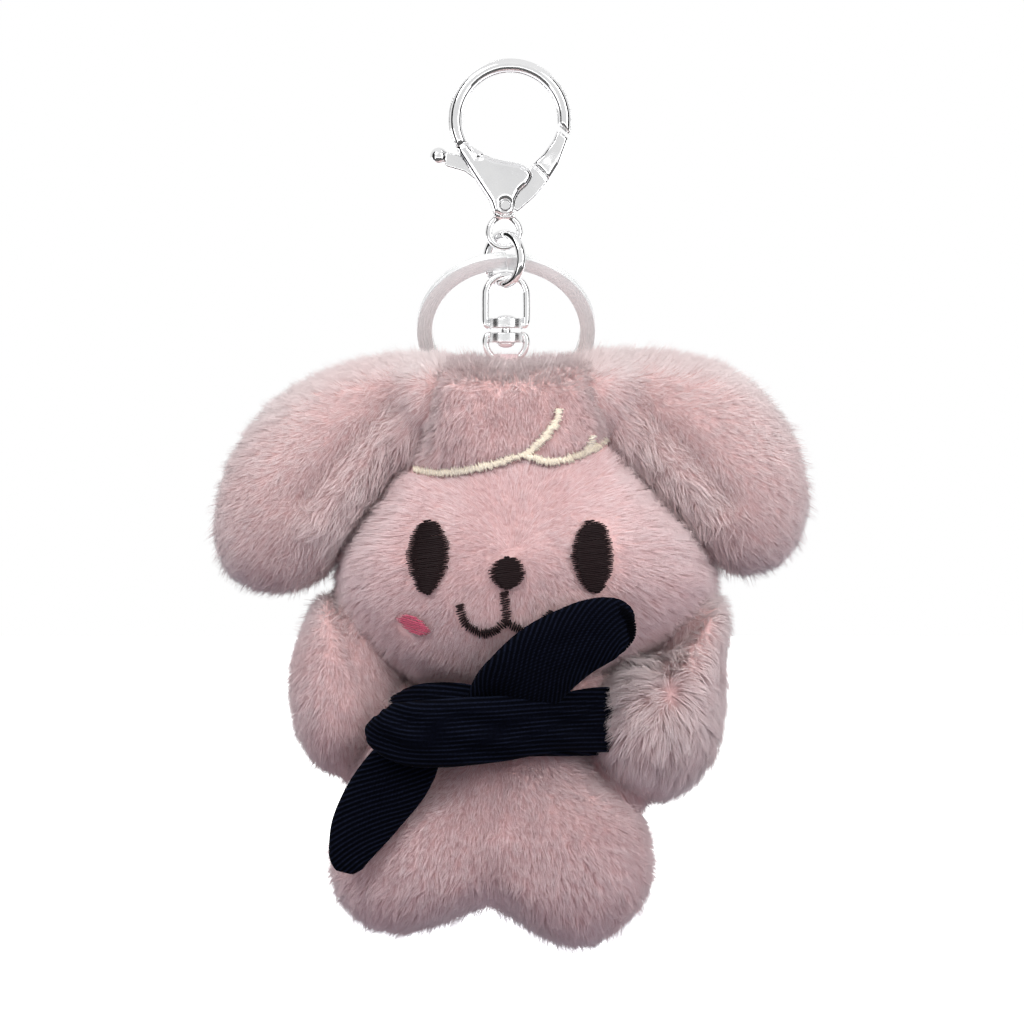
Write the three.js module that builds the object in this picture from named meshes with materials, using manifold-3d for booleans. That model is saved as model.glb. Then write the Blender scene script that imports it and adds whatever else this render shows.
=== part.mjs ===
// Plush keychain: a small floppy-eared animal that hangs from a swivel, a split key ring and a
// lever clasp. Millimetres. X to the viewer's right, Z up, the face looks along -Y. The origin is
// the inner top of the clasp ring, where the keychain hangs. "Left" is the viewer's left, -X.
import * as THREE from 'three';
import { mergeVertices } from 'three/addons/utils/BufferGeometryUtils.js';
import Module from 'manifold-3d';

const wasm = await Module();
wasm.setup();

// ---------------------------------------------------------------- driving dimensions
const gap = 0.3; // between pieces that are sewn or laid together
const pinClearance = 0.08; // radial, round a pin that turns

const claspRingRadius = 8; // inside of the clasp's ring
const claspBand = 2.2; // width of the ring's band, seen from the front
const claspThickness = 3.4;
const gateThickness = 1.5; // the part of the gate that lies between the clasp's cheeks
const slotClearance = 0.15; // each side of the gate
const leverBallRadius = 1.45;
const pivotPinRadius = 0.8;
const springWire = 0.24;
const claspEyeRadius = 2.1; // inside
const claspEyeBand = 1;
const claspEyeThickness = 1.6;

const jumpRingRadius = 4.2; // to the middle of the wire
const jumpRingWire = 1.6;
const jumpRingTurn = THREE.MathUtils.degToRad(48); // how far it stands across the clasp

const keyRingDiameter = 30; // outside
const keyRingBand = 2.5; // radial
const keyRingLeaf = 0.9; // thickness of each of its two turns
const keyRingLean = THREE.MathUtils.degToRad(35); // it leans on the back of the head

const bailWire = 1.2;
const bailWidth = 8; // outside
const upperBailHeight = 9.6; // outside, with the plate
const lowerBailHeight = 5.6; // outside, with the plate
const plateThickness = 1.8;
const plateDepth = 5.2;
const rivetRadius = 0.85;
const rivetHeadRadius = 1.6;
const plateGap = 0.5; // between the swivel's two plates

const ribbonWidth = 4;
const ribbonThickness = 0.5;

const plushWidth = 98; // across both ears
const plushHeight = 97; // from the top of the head to the feet
const headDepth = 39.5;
const bodyDepth = 31;
const earDepth = 19;
const armDepth = 20;
const panelWall = 2; // plush fabric with its pile pressed flat
const pillowRoundness = 2.3; // 2 gives an ellipse in section, more is boxier
// how much of each piece's depth lies in front of its seam
const headFrontShare = 0.53;
const bodyFrontShare = 0.5;
const earFrontShare = 0.55;
const armFrontShare = 0.55;
const pawFrontShare = 0.65;

const stitchThickness = 0.7;
const mouthLine = 1.2;
const hairLine = 1;

const scarfThickness = 4;
const scarfHeight = 8;
const tailThickness = 3.2;
const knotThickness = 6.4;

// ---------------------------------------------------------------- helpers
const group = new THREE.Group();

function add(name, geometry, colour, roughness, metalness) {
  const material = new THREE.MeshStandardMaterial({ color: colour, roughness, metalness });
  const mesh = new THREE.Mesh(geometry, material);
  mesh.name = name;
  group.add(mesh);
  return mesh;
}
const metal = (name, geometry) => add(name, geometry, 0xd8d9db, 0.22, 1);
const plush = (name, geometry) => add(name, geometry, 0xe6c3c1, 0.95, 0);
const filling = (name, geometry) => add(name, geometry, 0xf4f2ee, 0.98, 0);
const scarf = (name, geometry) => add(name, geometry, 0x10172c, 0.9, 0);
const thread = (name, geometry, colour) => add(name, geometry, colour, 0.7, 0);

// a geometry from corner points [x, y, z] and triangles, turned right side out
function solid(points, triangles) {
  let volume = 0;
  for (const [a, b, c] of triangles) {
    const [p, q, r] = [points[a], points[b], points[c]];
    volume += p[0] * (q[1] * r[2] - q[2] * r[1]);
    volume += p[1] * (q[2] * r[0] - q[0] * r[2]);
    volume += p[2] * (q[0] * r[1] - q[1] * r[0]);
  }
  const faces = volume < 0 ? triangles.map(([a, b, c]) => [a, c, b]) : triangles;
  const geometry = new THREE.BufferGeometry();
  geometry.setAttribute('position', new THREE.Float32BufferAttribute(points.flat(), 3));
  geometry.setIndex(faces.flat());
  geometry.computeVertexNormals();
  return geometry;
}

function toManifold(geometry) {
  const bare = geometry.clone();
  bare.deleteAttribute('normal');
  bare.deleteAttribute('uv');
  const merged = mergeVertices(bare, 1e-4);
  const vertProperties = new Float32Array(merged.attributes.position.array);
  const triVerts = new Uint32Array(merged.index.array);
  return new wasm.Manifold(new wasm.Mesh({ numProp: 3, vertProperties, triVerts }));
}

function fromManifold(manifold) {
  const mesh = manifold.getMesh();
  const geometry = new THREE.BufferGeometry();
  geometry.setAttribute('position', new THREE.Float32BufferAttribute(mesh.vertProperties, 3));
  geometry.setIndex(Array.from(mesh.triVerts));
  geometry.computeVertexNormals();
  return geometry;
}

function join(...geometries) {
  return fromManifold(geometries.map(toManifold).reduce((a, b) => a.add(b)));
}

function cut(geometry, ...tools) {
  return fromManifold(tools.map(toManifold).reduce((a, b) => a.subtract(b), toManifold(geometry)));
}

// a flat plate from a front outline (x, z), centred on the plane y = middle
function plate(shape, thickness, bevel = 0, middle = 0) {
  const geometry = new THREE.ExtrudeGeometry(shape, {
    depth: thickness - 2 * bevel,
    bevelEnabled: bevel > 0,
    bevelThickness: bevel,
    bevelSize: bevel,
    bevelOffset: -bevel,
    bevelSegments: 1,
    curveSegments: 20,
  });
  geometry.translate(0, 0, bevel - thickness / 2);
  geometry.rotateX(Math.PI / 2);
  geometry.translate(0, middle, 0);
  return geometry;
}

function cylinderAlongY(x, y, z, radius, length, sides = 20) {
  const geometry = new THREE.CylinderGeometry(radius, radius, length, sides);
  geometry.translate(x, y, z);
  return geometry;
}

function cylinderAlongZ(x, z, radius, length, sides = 24) {
  const geometry = new THREE.CylinderGeometry(radius, radius, length, sides);
  geometry.rotateX(Math.PI / 2);
  geometry.translate(x, 0, z);
  return geometry;
}

// round wire along a curve
function wire(curve, diameter, steps, sides = 8) {
  const section = new THREE.Shape();
  for (let i = 0; i < sides; i += 1) {
    const turn = (i / sides) * 2 * Math.PI;
    const [x, y] = [(Math.cos(turn) * diameter) / 2, (Math.sin(turn) * diameter) / 2];
    if (i === 0) section.moveTo(x, y);
    else section.lineTo(x, y);
  }
  section.closePath();
  return new THREE.ExtrudeGeometry(section, { steps, bevelEnabled: false, extrudePath: curve });
}

class ArcCurve extends THREE.Curve {
  constructor(at) {
    super();
    this.at = at;
  }
  getPoint(t, target = new THREE.Vector3()) {
    return target.copy(this.at(t));
  }
}

// ---------------------------------------------------------------- clasp
const claspUnit = claspRingRadius / 8; // the clasp's outline is drawn for an 8 mm ring
const ringCentre = [0, -claspRingRadius];
const ringOuter = claspRingRadius + claspBand;
const pivot = [-0.8 * claspUnit, -22.2 * claspUnit];
const neckFoot = -24.1 * claspUnit;
const eye = [-1 * claspUnit, neckFoot + 0.5 - claspEyeRadius - claspEyeBand];
const scaled = (points) => points.map(([x, z]) => [x * claspUnit, z * claspUnit]);

function arcPoints([x, z], radius, from, to, steps) {
  const points = [];
  for (let i = 0; i <= steps; i += 1) {
    const turn = THREE.MathUtils.degToRad(from + ((to - from) * i) / steps);
    points.push([x + radius * Math.cos(turn), z + radius * Math.sin(turn)]);
  }
  return points;
}

function outlineShape(points) {
  return new THREE.Shape(points.map(([x, z]) => new THREE.Vector2(x, z)));
}

// a sector round the gate's pivot, for the slot that it swings in
function pivotSector(from, to, radius, thickness) {
  return plate(outlineShape([pivot, ...arcPoints(pivot, radius, from, to, 12)]), thickness);
}

const noseInnerAngle = -5;
const noseOuterAngle = -14;
const leftFlank = scaled([
  [-9.7, -10.9], [-8.5, -13.7], [-5.5, -18.4], [-3.4, -21.6], [-2.6, -24.1],
]);
const rightNeck = scaled([[0.7, -24.1], [0.9, -21.4], [1.6, -20.1], [3, -18.8], [3.8, -17.3]]);
const webEdge = scaled([[3.3, -16.2], [1.8, -15.3], [-0.5, -14.9], [-2.9, -14.4], [-5, -13.3]]);
const hook = plate(
  outlineShape([
    ...arcPoints(ringCentre, ringOuter, noseOuterAngle, 188, 26),
    ...leftFlank,
    ...rightNeck,
    ...webEdge,
    ...arcPoints(ringCentre, claspRingRadius, 212, noseInnerAngle, 26),
  ]),
  claspThickness,
  0.5,
);
const eyeOuter = claspEyeRadius + claspEyeBand;
const eyePlate = plate(outlineShape(arcPoints(eye, eyeOuter, 0, 342, 19)), claspEyeThickness, 0.3);
const eyeHole = cylinderAlongY(eye[0], 0, eye[1], claspEyeRadius, claspThickness * 2, 24);
const eyeWaist = plate(
  outlineShape([
    [eye[0] - eyeOuter * 1.3, eye[1] - eyeOuter],
    [eye[0] + eyeOuter * 1.3, eye[1] - eyeOuter],
    [eye[0] + eyeOuter * 1.3, eye[1] + claspEyeRadius],
    [eye[0] - eyeOuter * 1.3, eye[1] + claspEyeRadius],
  ]),
  claspThickness * 2,
);
const slotThickness = gateThickness + 2 * slotClearance;
const slotRadius = 9.2 * claspUnit;
const leverSlotRadius = 12.6 * claspUnit;
const slot = join(
  pivotSector(-35, 130, slotRadius, slotThickness),
  pivotSector(121, 222, leverSlotRadius, slotThickness),
  cylinderAlongY(pivot[0], 0, pivot[1], 1.9 * claspUnit, slotThickness),
);
const pinHole = cylinderAlongY(pivot[0], 0, pivot[1], pivotPinRadius + pinClearance, claspThickness * 2);
const claspBody = cut(join(cut(hook, eyeWaist), eyePlate), eyeHole, slot, pinHole);
metal('clasp_body', claspBody);

const gateOuter = scaled([
  [9.66, -11], [9.2, -12.4], [8, -15.5], [6, -18.5], [4, -20.9], [1.2, -23.3],
]);
const gateInner = scaled([
  [-0.9, -20.6], [1.4, -18.6], [3.5, -15.7], [5.5, -13.7], [7.1, -11.5], [7.9, -9.6],
]);
const gateArm = outlineShape([...gateOuter, ...gateInner]);
const gateHub = arcPoints(pivot, 1.75 * claspUnit, 0, 342, 19);
const leverArm = scaled([
  [-1.4, -23.6], [-3.6, -20.9], [-5.6, -18.1], [-7.6, -16.6], [-10.8, -15.7],
  [-10.8, -13.3], [-8.3, -14], [-6.3, -14.8], [-3.8, -16.8], [-0.6, -20.5],
]);
const leverBall = new THREE.SphereGeometry(leverBallRadius, 16, 10);
leverBall.translate(-11.9 * claspUnit, 0, -14 * claspUnit);
// the gate is as thick as the ring where it closes it, and thin between the cheeks
const thickFrom = 8.6 * claspUnit;
const nearPivot = cylinderAlongY(pivot[0], 0, pivot[1], thickFrom, claspThickness * 2, 40);
const gateTip = cut(plate(gateArm, claspThickness * 0.9, 0.4), nearPivot);
const springPocket = cylinderAlongY(
  pivot[0],
  gateThickness / 4,
  pivot[1],
  1.55 * claspUnit,
  gateThickness / 2 + 0.01,
);
const gateHole = cylinderAlongY(pivot[0], 0, pivot[1], pivotPinRadius + pinClearance, claspThickness * 2);
const gate = cut(
  join(
    plate(gateArm, gateThickness),
    gateTip,
    plate(outlineShape(gateHub), gateThickness),
    plate(outlineShape(leverArm), gateThickness),
    leverBall,
  ),
  gateHole,
  springPocket,
);
metal('clasp_gate', gate);

metal('clasp_pivot_pin', cylinderAlongY(pivot[0], 0, pivot[1], pivotPinRadius, claspThickness, 24));

const springTurns = 2.25;
const springRadius = (pivotPinRadius + 1.55 * claspUnit) / 2 + 0.02;
const springSpan = gateThickness / 2 - springWire;
const springCoil = new ArcCurve((t) => {
  const turn = t * springTurns * 2 * Math.PI;
  const y = springWire / 2 + 0.02 + t * (springSpan - 0.04);
  const x = pivot[0] + springRadius * Math.cos(turn);
  return new THREE.Vector3(x, y, pivot[1] + springRadius * Math.sin(turn));
});
metal('clasp_spring', wire(springCoil, springWire, 27, 5));

// ---------------------------------------------------------------- rings
const ringSpot = [eye[0], eye[1] - gap - jumpRingRadius];
const jumpCut = 0.3 / jumpRingRadius; // the ring is bent shut, with a fine cut
const jumpCurve = new ArcCurve((t) => {
  const turn = jumpCut / 2 + t * (2 * Math.PI - jumpCut) - Math.PI / 4;
  const across = jumpRingRadius * Math.cos(turn);
  return new THREE.Vector3(
    ringSpot[0] + across * Math.cos(jumpRingTurn),
    -across * Math.sin(jumpRingTurn),
    ringSpot[1] + jumpRingRadius * Math.sin(turn),
  );
});
metal('jump_ring', wire(jumpCurve, jumpRingWire, 26));

// two flat turns side by side, with a step near the top where one passes to the other
const keyRingRadius = (keyRingDiameter - keyRingBand) / 2;
const keyRingReach = Math.hypot(keyRingBand, 2 * keyRingLeaf) / 2;
const leafClearance = 0.08; // between the ring's turns, and under the clasp's eye
const keyRingTop = [eye[0] + 0.3, eye[1] - eyeOuter - leafClearance - keyRingReach];
const stepTurn = THREE.MathUtils.degToRad(16);
const leafPitch = keyRingLeaf + leafClearance;
function keyRing() {
  const steps = 64;
  const total = 4 * Math.PI - 1.4 * stepTurn;
  const points = [];
  const triangles = [];
  for (let i = 0; i <= steps; i += 1) {
    const turn = (total * i) / steps;
    const through = THREE.MathUtils.clamp((turn - 2 * Math.PI + stepTurn) / stepTurn, 0, 1);
    const level = leafPitch * (through - 0.5);
    const angle = turn + Math.PI / 2;
    const corners = [[-1, -1], [1, -1], [1, 1], [-1, 1]];
    for (const [radial, axial] of corners) {
      const radius = keyRingRadius + (radial * keyRingBand) / 2;
      const y = level + (axial * keyRingLeaf) / 2;
      points.push([radius * Math.cos(angle), y, radius * Math.sin(angle) - keyRingRadius]);
    }
    if (i < steps) {
      for (let side = 0; side < 4; side += 1) {
        const a = 4 * i + side;
        const b = 4 * i + ((side + 1) % 4);
        triangles.push([a, b, b + 4], [a, b + 4, a + 4]);
      }
    }
  }
  const last = 4 * steps;
  triangles.push([0, 2, 1], [0, 3, 2], [last, last + 1, last + 2], [last, last + 2, last + 3]);
  const geometry = solid(points, triangles);
  geometry.rotateX(keyRingLean);
  geometry.translate(keyRingTop[0], 0, keyRingTop[1]);
  return geometry;
}
metal('split_key_ring', keyRing());

// ---------------------------------------------------------------- swivel
const swivelX = ringSpot[0] + 0.3;
const bailHalf = (bailWidth - bailWire) / 2;
const lowerBailCorner = 1.6; // radius
const ringPlay = 0.2; // between the jump ring and the bail that hangs on it
const plateBevel = 0.2;
const bailTop = ringSpot[1] - jumpRingRadius + jumpRingWire / 2 + ringPlay + bailWire; // outside

// a round-topped wire frame, from one foot over the top to the other
function bail(top, height, cornerRadius) {
  const up = Math.sign(height);
  const crown = top - (up * bailWire) / 2;
  const foot = top - height + (up * bailWire) / 2;
  const path = new THREE.CurvePath();
  const at = (x, z) => new THREE.Vector3(swivelX + x, 0, z);
  const [r, w] = [cornerRadius, bailHalf];
  const bend = (a, b, c) => path.add(new THREE.QuadraticBezierCurve3(a, b, c));
  path.add(new THREE.LineCurve3(at(-w, foot), at(-w, crown - up * r)));
  bend(at(-w, crown - up * r), at(-w, crown), at(-w + r, crown));
  if (w > r + 0.01) path.add(new THREE.LineCurve3(at(-w + r, crown), at(w - r, crown)));
  bend(at(w - r, crown), at(w, crown), at(w, crown - up * r));
  path.add(new THREE.LineCurve3(at(w, crown - up * r), at(w, foot)));
  return wire(path, bailWire, 20);
}

// a plate with rounded front and back edges, which the bail's feet clasp
function swivelPlate(middle) {
  const half = bailHalf + bailWire * 0.15;
  const outline = [];
  for (let i = 0; i < 20; i += 1) {
    const turn = (i / 20) * 2 * Math.PI;
    const [c, s] = [Math.cos(turn), Math.sin(turn)];
    const x = Math.sign(c) * Math.abs(c) ** 0.5 * half;
    outline.push(new THREE.Vector2(x, (Math.sign(s) * Math.abs(s) ** 0.8 * plateDepth) / 2));
  }
  const geometry = new THREE.ExtrudeGeometry(new THREE.Shape(outline), {
    depth: plateThickness - 2 * plateBevel,
    bevelThickness: plateBevel,
    bevelSize: plateBevel,
    bevelOffset: -plateBevel,
    bevelSegments: 1,
  });
  geometry.translate(swivelX, 0, middle - plateThickness / 2 + plateBevel);
  return geometry;
}

const upperPlateMiddle = bailTop - upperBailHeight + plateThickness / 2;
const lowerPlateMiddle = upperPlateMiddle - plateThickness - plateGap;
const lowerBottom = lowerPlateMiddle + plateThickness / 2 - lowerBailHeight;
const rivetHoleRadius = rivetRadius + pinClearance;
const rivetHole = (middle) => cylinderAlongZ(swivelX, middle, rivetHoleRadius, plateThickness * 2);
metal(
  'swivel_upper_bail',
  cut(
    join(bail(bailTop, upperBailHeight, bailHalf), swivelPlate(upperPlateMiddle)),
    rivetHole(upperPlateMiddle),
  ),
);
metal(
  'swivel_lower_bail',
  cut(
    join(bail(lowerBottom, -lowerBailHeight, lowerBailCorner), swivelPlate(lowerPlateMiddle)),
    rivetHole(lowerPlateMiddle),
  ),
);

const rivetTop = upperPlateMiddle + plateThickness / 2 + 0.08;
const rivetFoot = lowerPlateMiddle - plateThickness / 2 - 0.1;
const rivetDome = 0.8;
const rivetProfile = [[0, rivetTop + rivetDome * 0.6]];
rivetProfile.push([rivetHeadRadius * 0.7, rivetTop + rivetDome * 0.4]);
rivetProfile.push([rivetHeadRadius, rivetTop], [rivetRadius, rivetTop], [rivetRadius, rivetFoot]);
rivetProfile.push([rivetHeadRadius, rivetFoot], [rivetHeadRadius * 0.9, rivetFoot - rivetDome * 0.45]);
rivetProfile.push([rivetHeadRadius * 0.5, rivetFoot - rivetDome * 0.9], [0, rivetFoot - rivetDome]);
function rivet() {
  const points = rivetProfile.map(([r, z]) => new THREE.Vector2(r, z)).reverse();
  const geometry = new THREE.LatheGeometry(points, 24);
  geometry.rotateX(Math.PI / 2);
  geometry.translate(swivelX, 0, 0);
  return fromManifold(toManifold(geometry));
}
metal('swivel_rivet', rivet());

// ---------------------------------------------------------------- hanging loop
const lowerBarZ = lowerBottom + bailWire / 2;
const loopInner = bailWire / 2 + 0.25;
const loopOuter = loopInner + ribbonThickness;
const headTop = lowerBottom - 1.1;
function hangingLoop() {
  const foot = headTop + gap - lowerBarZ;
  const arc = (radius, from, to) => arcPoints([0, 0], radius, from, to, 10);
  const outline = [[loopOuter, foot], ...arc(loopOuter, 0, 180), [-loopOuter, foot]];
  outline.push([-loopInner, foot], ...arc(loopInner, 180, 0), [loopInner, foot]);
  const geometry = plate(outlineShape(outline), ribbonWidth);
  geometry.rotateZ(Math.PI / 2);
  geometry.translate(swivelX, 0, lowerBarZ);
  return geometry;
}
add('hanging_loop', hangingLoop(), 0xe2bcbc, 0.9, 0);

// ---------------------------------------------------------------- plush pieces
// Outlines are drawn for the nominal plush, from the top of the head down, and scaled together,
// so neighbours keep their seams.
const widthScale = plushWidth / 98;
const heightScale = plushHeight / 97;
const onPlush = ([x, z]) => [swivelX + x * widthScale, headTop + z * heightScale];

function smoothOutline(points, count) {
  const corners = points.map(([x, z]) => new THREE.Vector3(x, 0, z));
  const curve = new THREE.CatmullRomCurve3(corners, true, 'centripetal');
  return curve.getSpacedPoints(count).slice(0, count).map((p) => onPlush([p.x, p.z]));
}

// the outline moved inwards by a distance
function inset(outline, distance) {
  const count = outline.length;
  let area = 0;
  outline.forEach(([x, z], i) => {
    const [nx, nz] = outline[(i + 1) % count];
    area += x * nz - nx * z;
  });
  const side = Math.sign(area);
  return outline.map(([x, z], i) => {
    const [ax, az] = outline[(i + count - 1) % count];
    const [bx, bz] = outline[(i + 1) % count];
    const length = Math.hypot(bx - ax, bz - az);
    return [x - (side * distance * (bz - az)) / length, z + (side * distance * (bx - ax)) / length];
  });
}

// how far a stuffed panel stands out, from 0 at its seam to 1 over its middle
const crown = (share) => (1 - Math.min(share, 1) ** pillowRoundness) ** (1 / pillowRoundness);
const ringShares = [1, 0.96, 0.82, 0.5];

// rows of points over a stuffed panel, from its seam to its middle
function panelRows(outline, centre, seam, depth) {
  return ringShares.map((share) => {
    const y = seam + depth * crown(share);
    return outline.map(([x, z]) => [
      centre[0] + (x - centre[0]) * share,
      y,
      centre[1] + (z - centre[1]) * share,
    ]);
  });
}

function skin(rows, tip, triangles, points, seamFirst) {
  const count = rows[0].length;
  const start = seamFirst ?? points.length;
  if (seamFirst === undefined) points.push(...rows[0]);
  let before = start;
  for (const row of rows.slice(1)) {
    const now = points.length;
    points.push(...row);
    for (let i = 0; i < count; i += 1) {
      const j = (i + 1) % count;
      triangles.push([before + i, before + j, now + j], [before + i, now + j, now + i]);
    }
    before = now;
  }
  const top = points.length;
  points.push(tip);
  for (let i = 0; i < count; i += 1) triangles.push([before + i, before + ((i + 1) % count), top]);
  return start;
}

// a closed pillow: two panels that share one seam on the plane y = middle
function pillow(outline, centre, front, back, middle = 0) {
  const points = [];
  const triangles = [];
  const rowsFront = panelRows(outline, centre, middle, -front);
  const rowsBack = panelRows(outline, centre, middle, back);
  const seam = skin(rowsFront, [centre[0], middle - front, centre[1]], triangles, points);
  const half = triangles.length;
  skin(rowsBack, [centre[0], middle + back, centre[1]], triangles, points, seam);
  for (let i = half; i < triangles.length; i += 1) triangles[i].reverse();
  return solid(points, triangles);
}

// one sewn panel as a shell: outer face, inner face, and the seam allowance between them
function panel(outline, centre, depth, side) {
  const points = [];
  const triangles = [];
  const seam = (side * gap) / 2;
  const inner = inset(outline, panelWall);
  const outerRows = panelRows(outline, centre, seam, side * (depth - gap / 2));
  const innerRows = panelRows(inner, centre, seam, side * (depth - gap / 2 - panelWall));
  const outerSeam = skin(outerRows, [centre[0], side * depth, centre[1]], triangles, points);
  const outerCount = triangles.length;
  const innerTip = [centre[0], side * (depth - panelWall), centre[1]];
  const innerSeam = skin(innerRows, innerTip, triangles, points);
  for (let i = outerCount; i < triangles.length; i += 1) triangles[i].reverse();
  const count = outline.length;
  for (let i = 0; i < count; i += 1) {
    const j = (i + 1) % count;
    triangles.push([outerSeam + i, innerSeam + j, outerSeam + j]);
    triangles.push([outerSeam + i, innerSeam + i, innerSeam + j]);
  }
  return solid(points, triangles);
}

function sewn(name, outlinePoints, centrePoint, front, back, count) {
  const outline = smoothOutline(outlinePoints, count);
  const centre = onPlush(centrePoint);
  plush(`${name}_front`, panel(outline, centre, front, -1));
  plush(`${name}_back`, panel(outline, centre, back, 1));
  const inside = inset(outline, panelWall + gap);
  const room = panelWall + gap;
  filling(`${name}_stuffing`, pillow(inside, centre, front - room, back - room));
  return { outline, centre, front, back };
}

const halves = (depth, frontShare) => [depth * frontShare, depth * (1 - frontShare)];

const headOutline = [
  [-11, 0.6], [1, 0], [14, 0.6], [16.4, -6], [18.6, -14], [24.4, -22], [30.6, -28.4], [34.2, -33.4],
  [32, -39], [25.4, -44.4], [17, -49.4], [8.4, -52.8], [-1, -53.8], [-14.5, -51.2],
  [-22.4, -45.6], [-26.6, -38.6],
  [-27.6, -34.2], [-25, -29.4], [-17.2, -17], [-14, -10.4],
];
const headDepths = halves(headDepth, headFrontShare);
const head = sewn('head', headOutline, [3.6, -31], ...headDepths, 30);

const bodyOutline = [
  [-9.5, -56.2], [0, -55.6], [8.5, -56.2], [10.8, -61], [14.6, -66.4], [20.6, -72], [23.4, -78.6],
  [23, -86], [19.6, -92],
  [12.4, -96.6], [6.6, -94.6], [2, -90.6], [-2.2, -88], [-7, -89.6], [-13, -92.6], [-18.6, -94],
  [-23.6, -92], [-27.4, -87], [-28.4, -80], [-25.4, -73.4], [-17.6, -66.6], [-12.4, -61],
];
const bodyDepths = halves(bodyDepth, bodyFrontShare);
const body = sewn('body', bodyOutline, [-1.6, -78], ...bodyDepths, 30);

const earLeftOutline = [
  [-12.2, 1.4], [-21, 0.6], [-29, -1.6], [-37, -6], [-42.6, -12], [-46.2, -18.4], [-47.8, -25],
  [-47, -31],
  [-44.2, -34.4], [-39, -36], [-31.6, -34.4], [-28.4, -29.6], [-23, -22.4], [-18, -15],
  [-15.2, -8.6],
];
const earRightOutline = [
  [15.2, 1.6], [22, 1.8], [31, 0.8], [37.4, -1.6], [43, -6.6], [47, -12], [49.4, -18.6], [49, -25],
  [46, -30.6], [41, -33], [36.4, -32.4], [32.2, -27.4], [26, -20.8], [20.2, -13], [17.9, -5.6],
];
sewn('ear_left', earLeftOutline, [-33, -18.6], ...halves(earDepth, earFrontShare), 20);
sewn('ear_right', earRightOutline, [34, -16.6], ...halves(earDepth, earFrontShare), 20);

const armLeftOutline = [
  [-29.8, -36.8], [-32.6, -42], [-34.8, -48.6], [-34.8, -56], [-33.2, -61.6], [-30.2, -65.6],
  [-26.6, -66.6],
  [-23, -63.8], [-21.4, -59.4], [-20.9, -55.4], [-20.4, -52.8], [-23.8, -47.4], [-27.6, -41],
];
const armRightOutline = [
  [35.4, -38], [36, -43], [34.4, -49], [34.2, -56], [32.8, -62.6], [29.2, -67.4], [24.6, -69.4],
  [20.8, -66], [18.9, -61], [18.4, -56], [18.6, -51.8], [25.6, -47.2], [32, -42],
];
sewn('arm_left', armLeftOutline, [-27.6, -55], ...halves(armDepth, armFrontShare), 16);
sewn('arm_right', armRightOutline, [27, -57], ...halves(armDepth, pawFrontShare), 16);

// ---------------------------------------------------------------- embroidery
// how far along the way from a stuffed piece's middle to its seam a front point lies
function seamShare(piece, x, z) {
  const [dx, dz] = [x - piece.centre[0], z - piece.centre[1]];
  let share = 0;
  piece.outline.forEach(([ax, az], i) => {
    const [bx, bz] = piece.outline[(i + 1) % piece.outline.length];
    const [px, pz] = [ax - piece.centre[0], az - piece.centre[1]];
    const [ex, ez] = [bx - ax, bz - az];
    const cross = dx * ez - dz * ex;
    if (Math.abs(cross) < 1e-9) return;
    const along = (px * ez - pz * ex) / cross;
    const onEdge = (px * dz - pz * dx) / cross;
    if (along > 0 && onEdge >= -1e-6 && onEdge <= 1 + 1e-6) share = Math.max(share, 1 / along);
  });
  return share;
}

const frontOf = (piece, x, z) => -gap / 2 - (piece.front - gap / 2) * crown(seamShare(piece, x, z));

// a filled patch of stitches that follows the front of the head
function stitchPatch(points, middle, count = 18) {
  const outline = smoothOutline(points, count);
  const centre = onPlush(middle);
  const corners = [];
  const triangles = [];
  const layer = (lift) => {
    const first = corners.length;
    for (const share of [1, 0.55]) {
      for (const [px, pz] of outline) {
        const [x, z] = [centre[0] + (px - centre[0]) * share, centre[1] + (pz - centre[1]) * share];
        corners.push([x, frontOf(head, x, z) - lift, z]);
      }
    }
    corners.push([centre[0], frontOf(head, ...centre) - lift, centre[1]]);
    return first;
  };
  const [back, front] = [layer(gap), layer(gap + stitchThickness)];
  for (let i = 0; i < count; i += 1) {
    const j = (i + 1) % count;
    for (const [first, flip] of [[back, false], [front, true]]) {
      const faces = [
        [first + i, first + j, first + count + j],
        [first + i, first + count + j, first + count + i],
        [first + count + i, first + count + j, first + 2 * count],
      ];
      triangles.push(...(flip ? faces.map((f) => f.reverse()) : faces));
    }
    triangles.push([back + i, front + j, back + j], [back + i, front + i, front + j]);
  }
  return solid(corners, triangles);
}

// a line of satin stitch that follows the front of the head
function stitchLine(points, width, steps = 14) {
  const spots = points.map(onPlush).map(([x, z]) => new THREE.Vector3(x, 0, z));
  const path = new THREE.CatmullRomCurve3(spots);
  const corners = [];
  const triangles = [];
  for (let i = 0; i <= steps; i += 1) {
    const at = path.getPoint(i / steps);
    const along = path.getTangent(i / steps);
    for (const [side, lift] of [[-1, 0], [1, 0], [1, 1], [-1, 1]]) {
      const x = at.x - (along.z * side * width) / 2;
      const z = at.z + (along.x * side * width) / 2;
      corners.push([x, frontOf(head, x, z) - gap - lift * stitchThickness, z]);
    }
    for (let side = 0; side < 4 && i < steps; side += 1) {
      const [a, b] = [4 * i + side, 4 * i + ((side + 1) % 4)];
      triangles.push([a, b, b + 4], [a, b + 4, a + 4]);
    }
  }
  const last = 4 * steps;
  triangles.push([0, 2, 1], [0, 3, 2], [last, last + 1, last + 2], [last, last + 2, last + 3]);
  return solid(corners, triangles);
}

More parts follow.
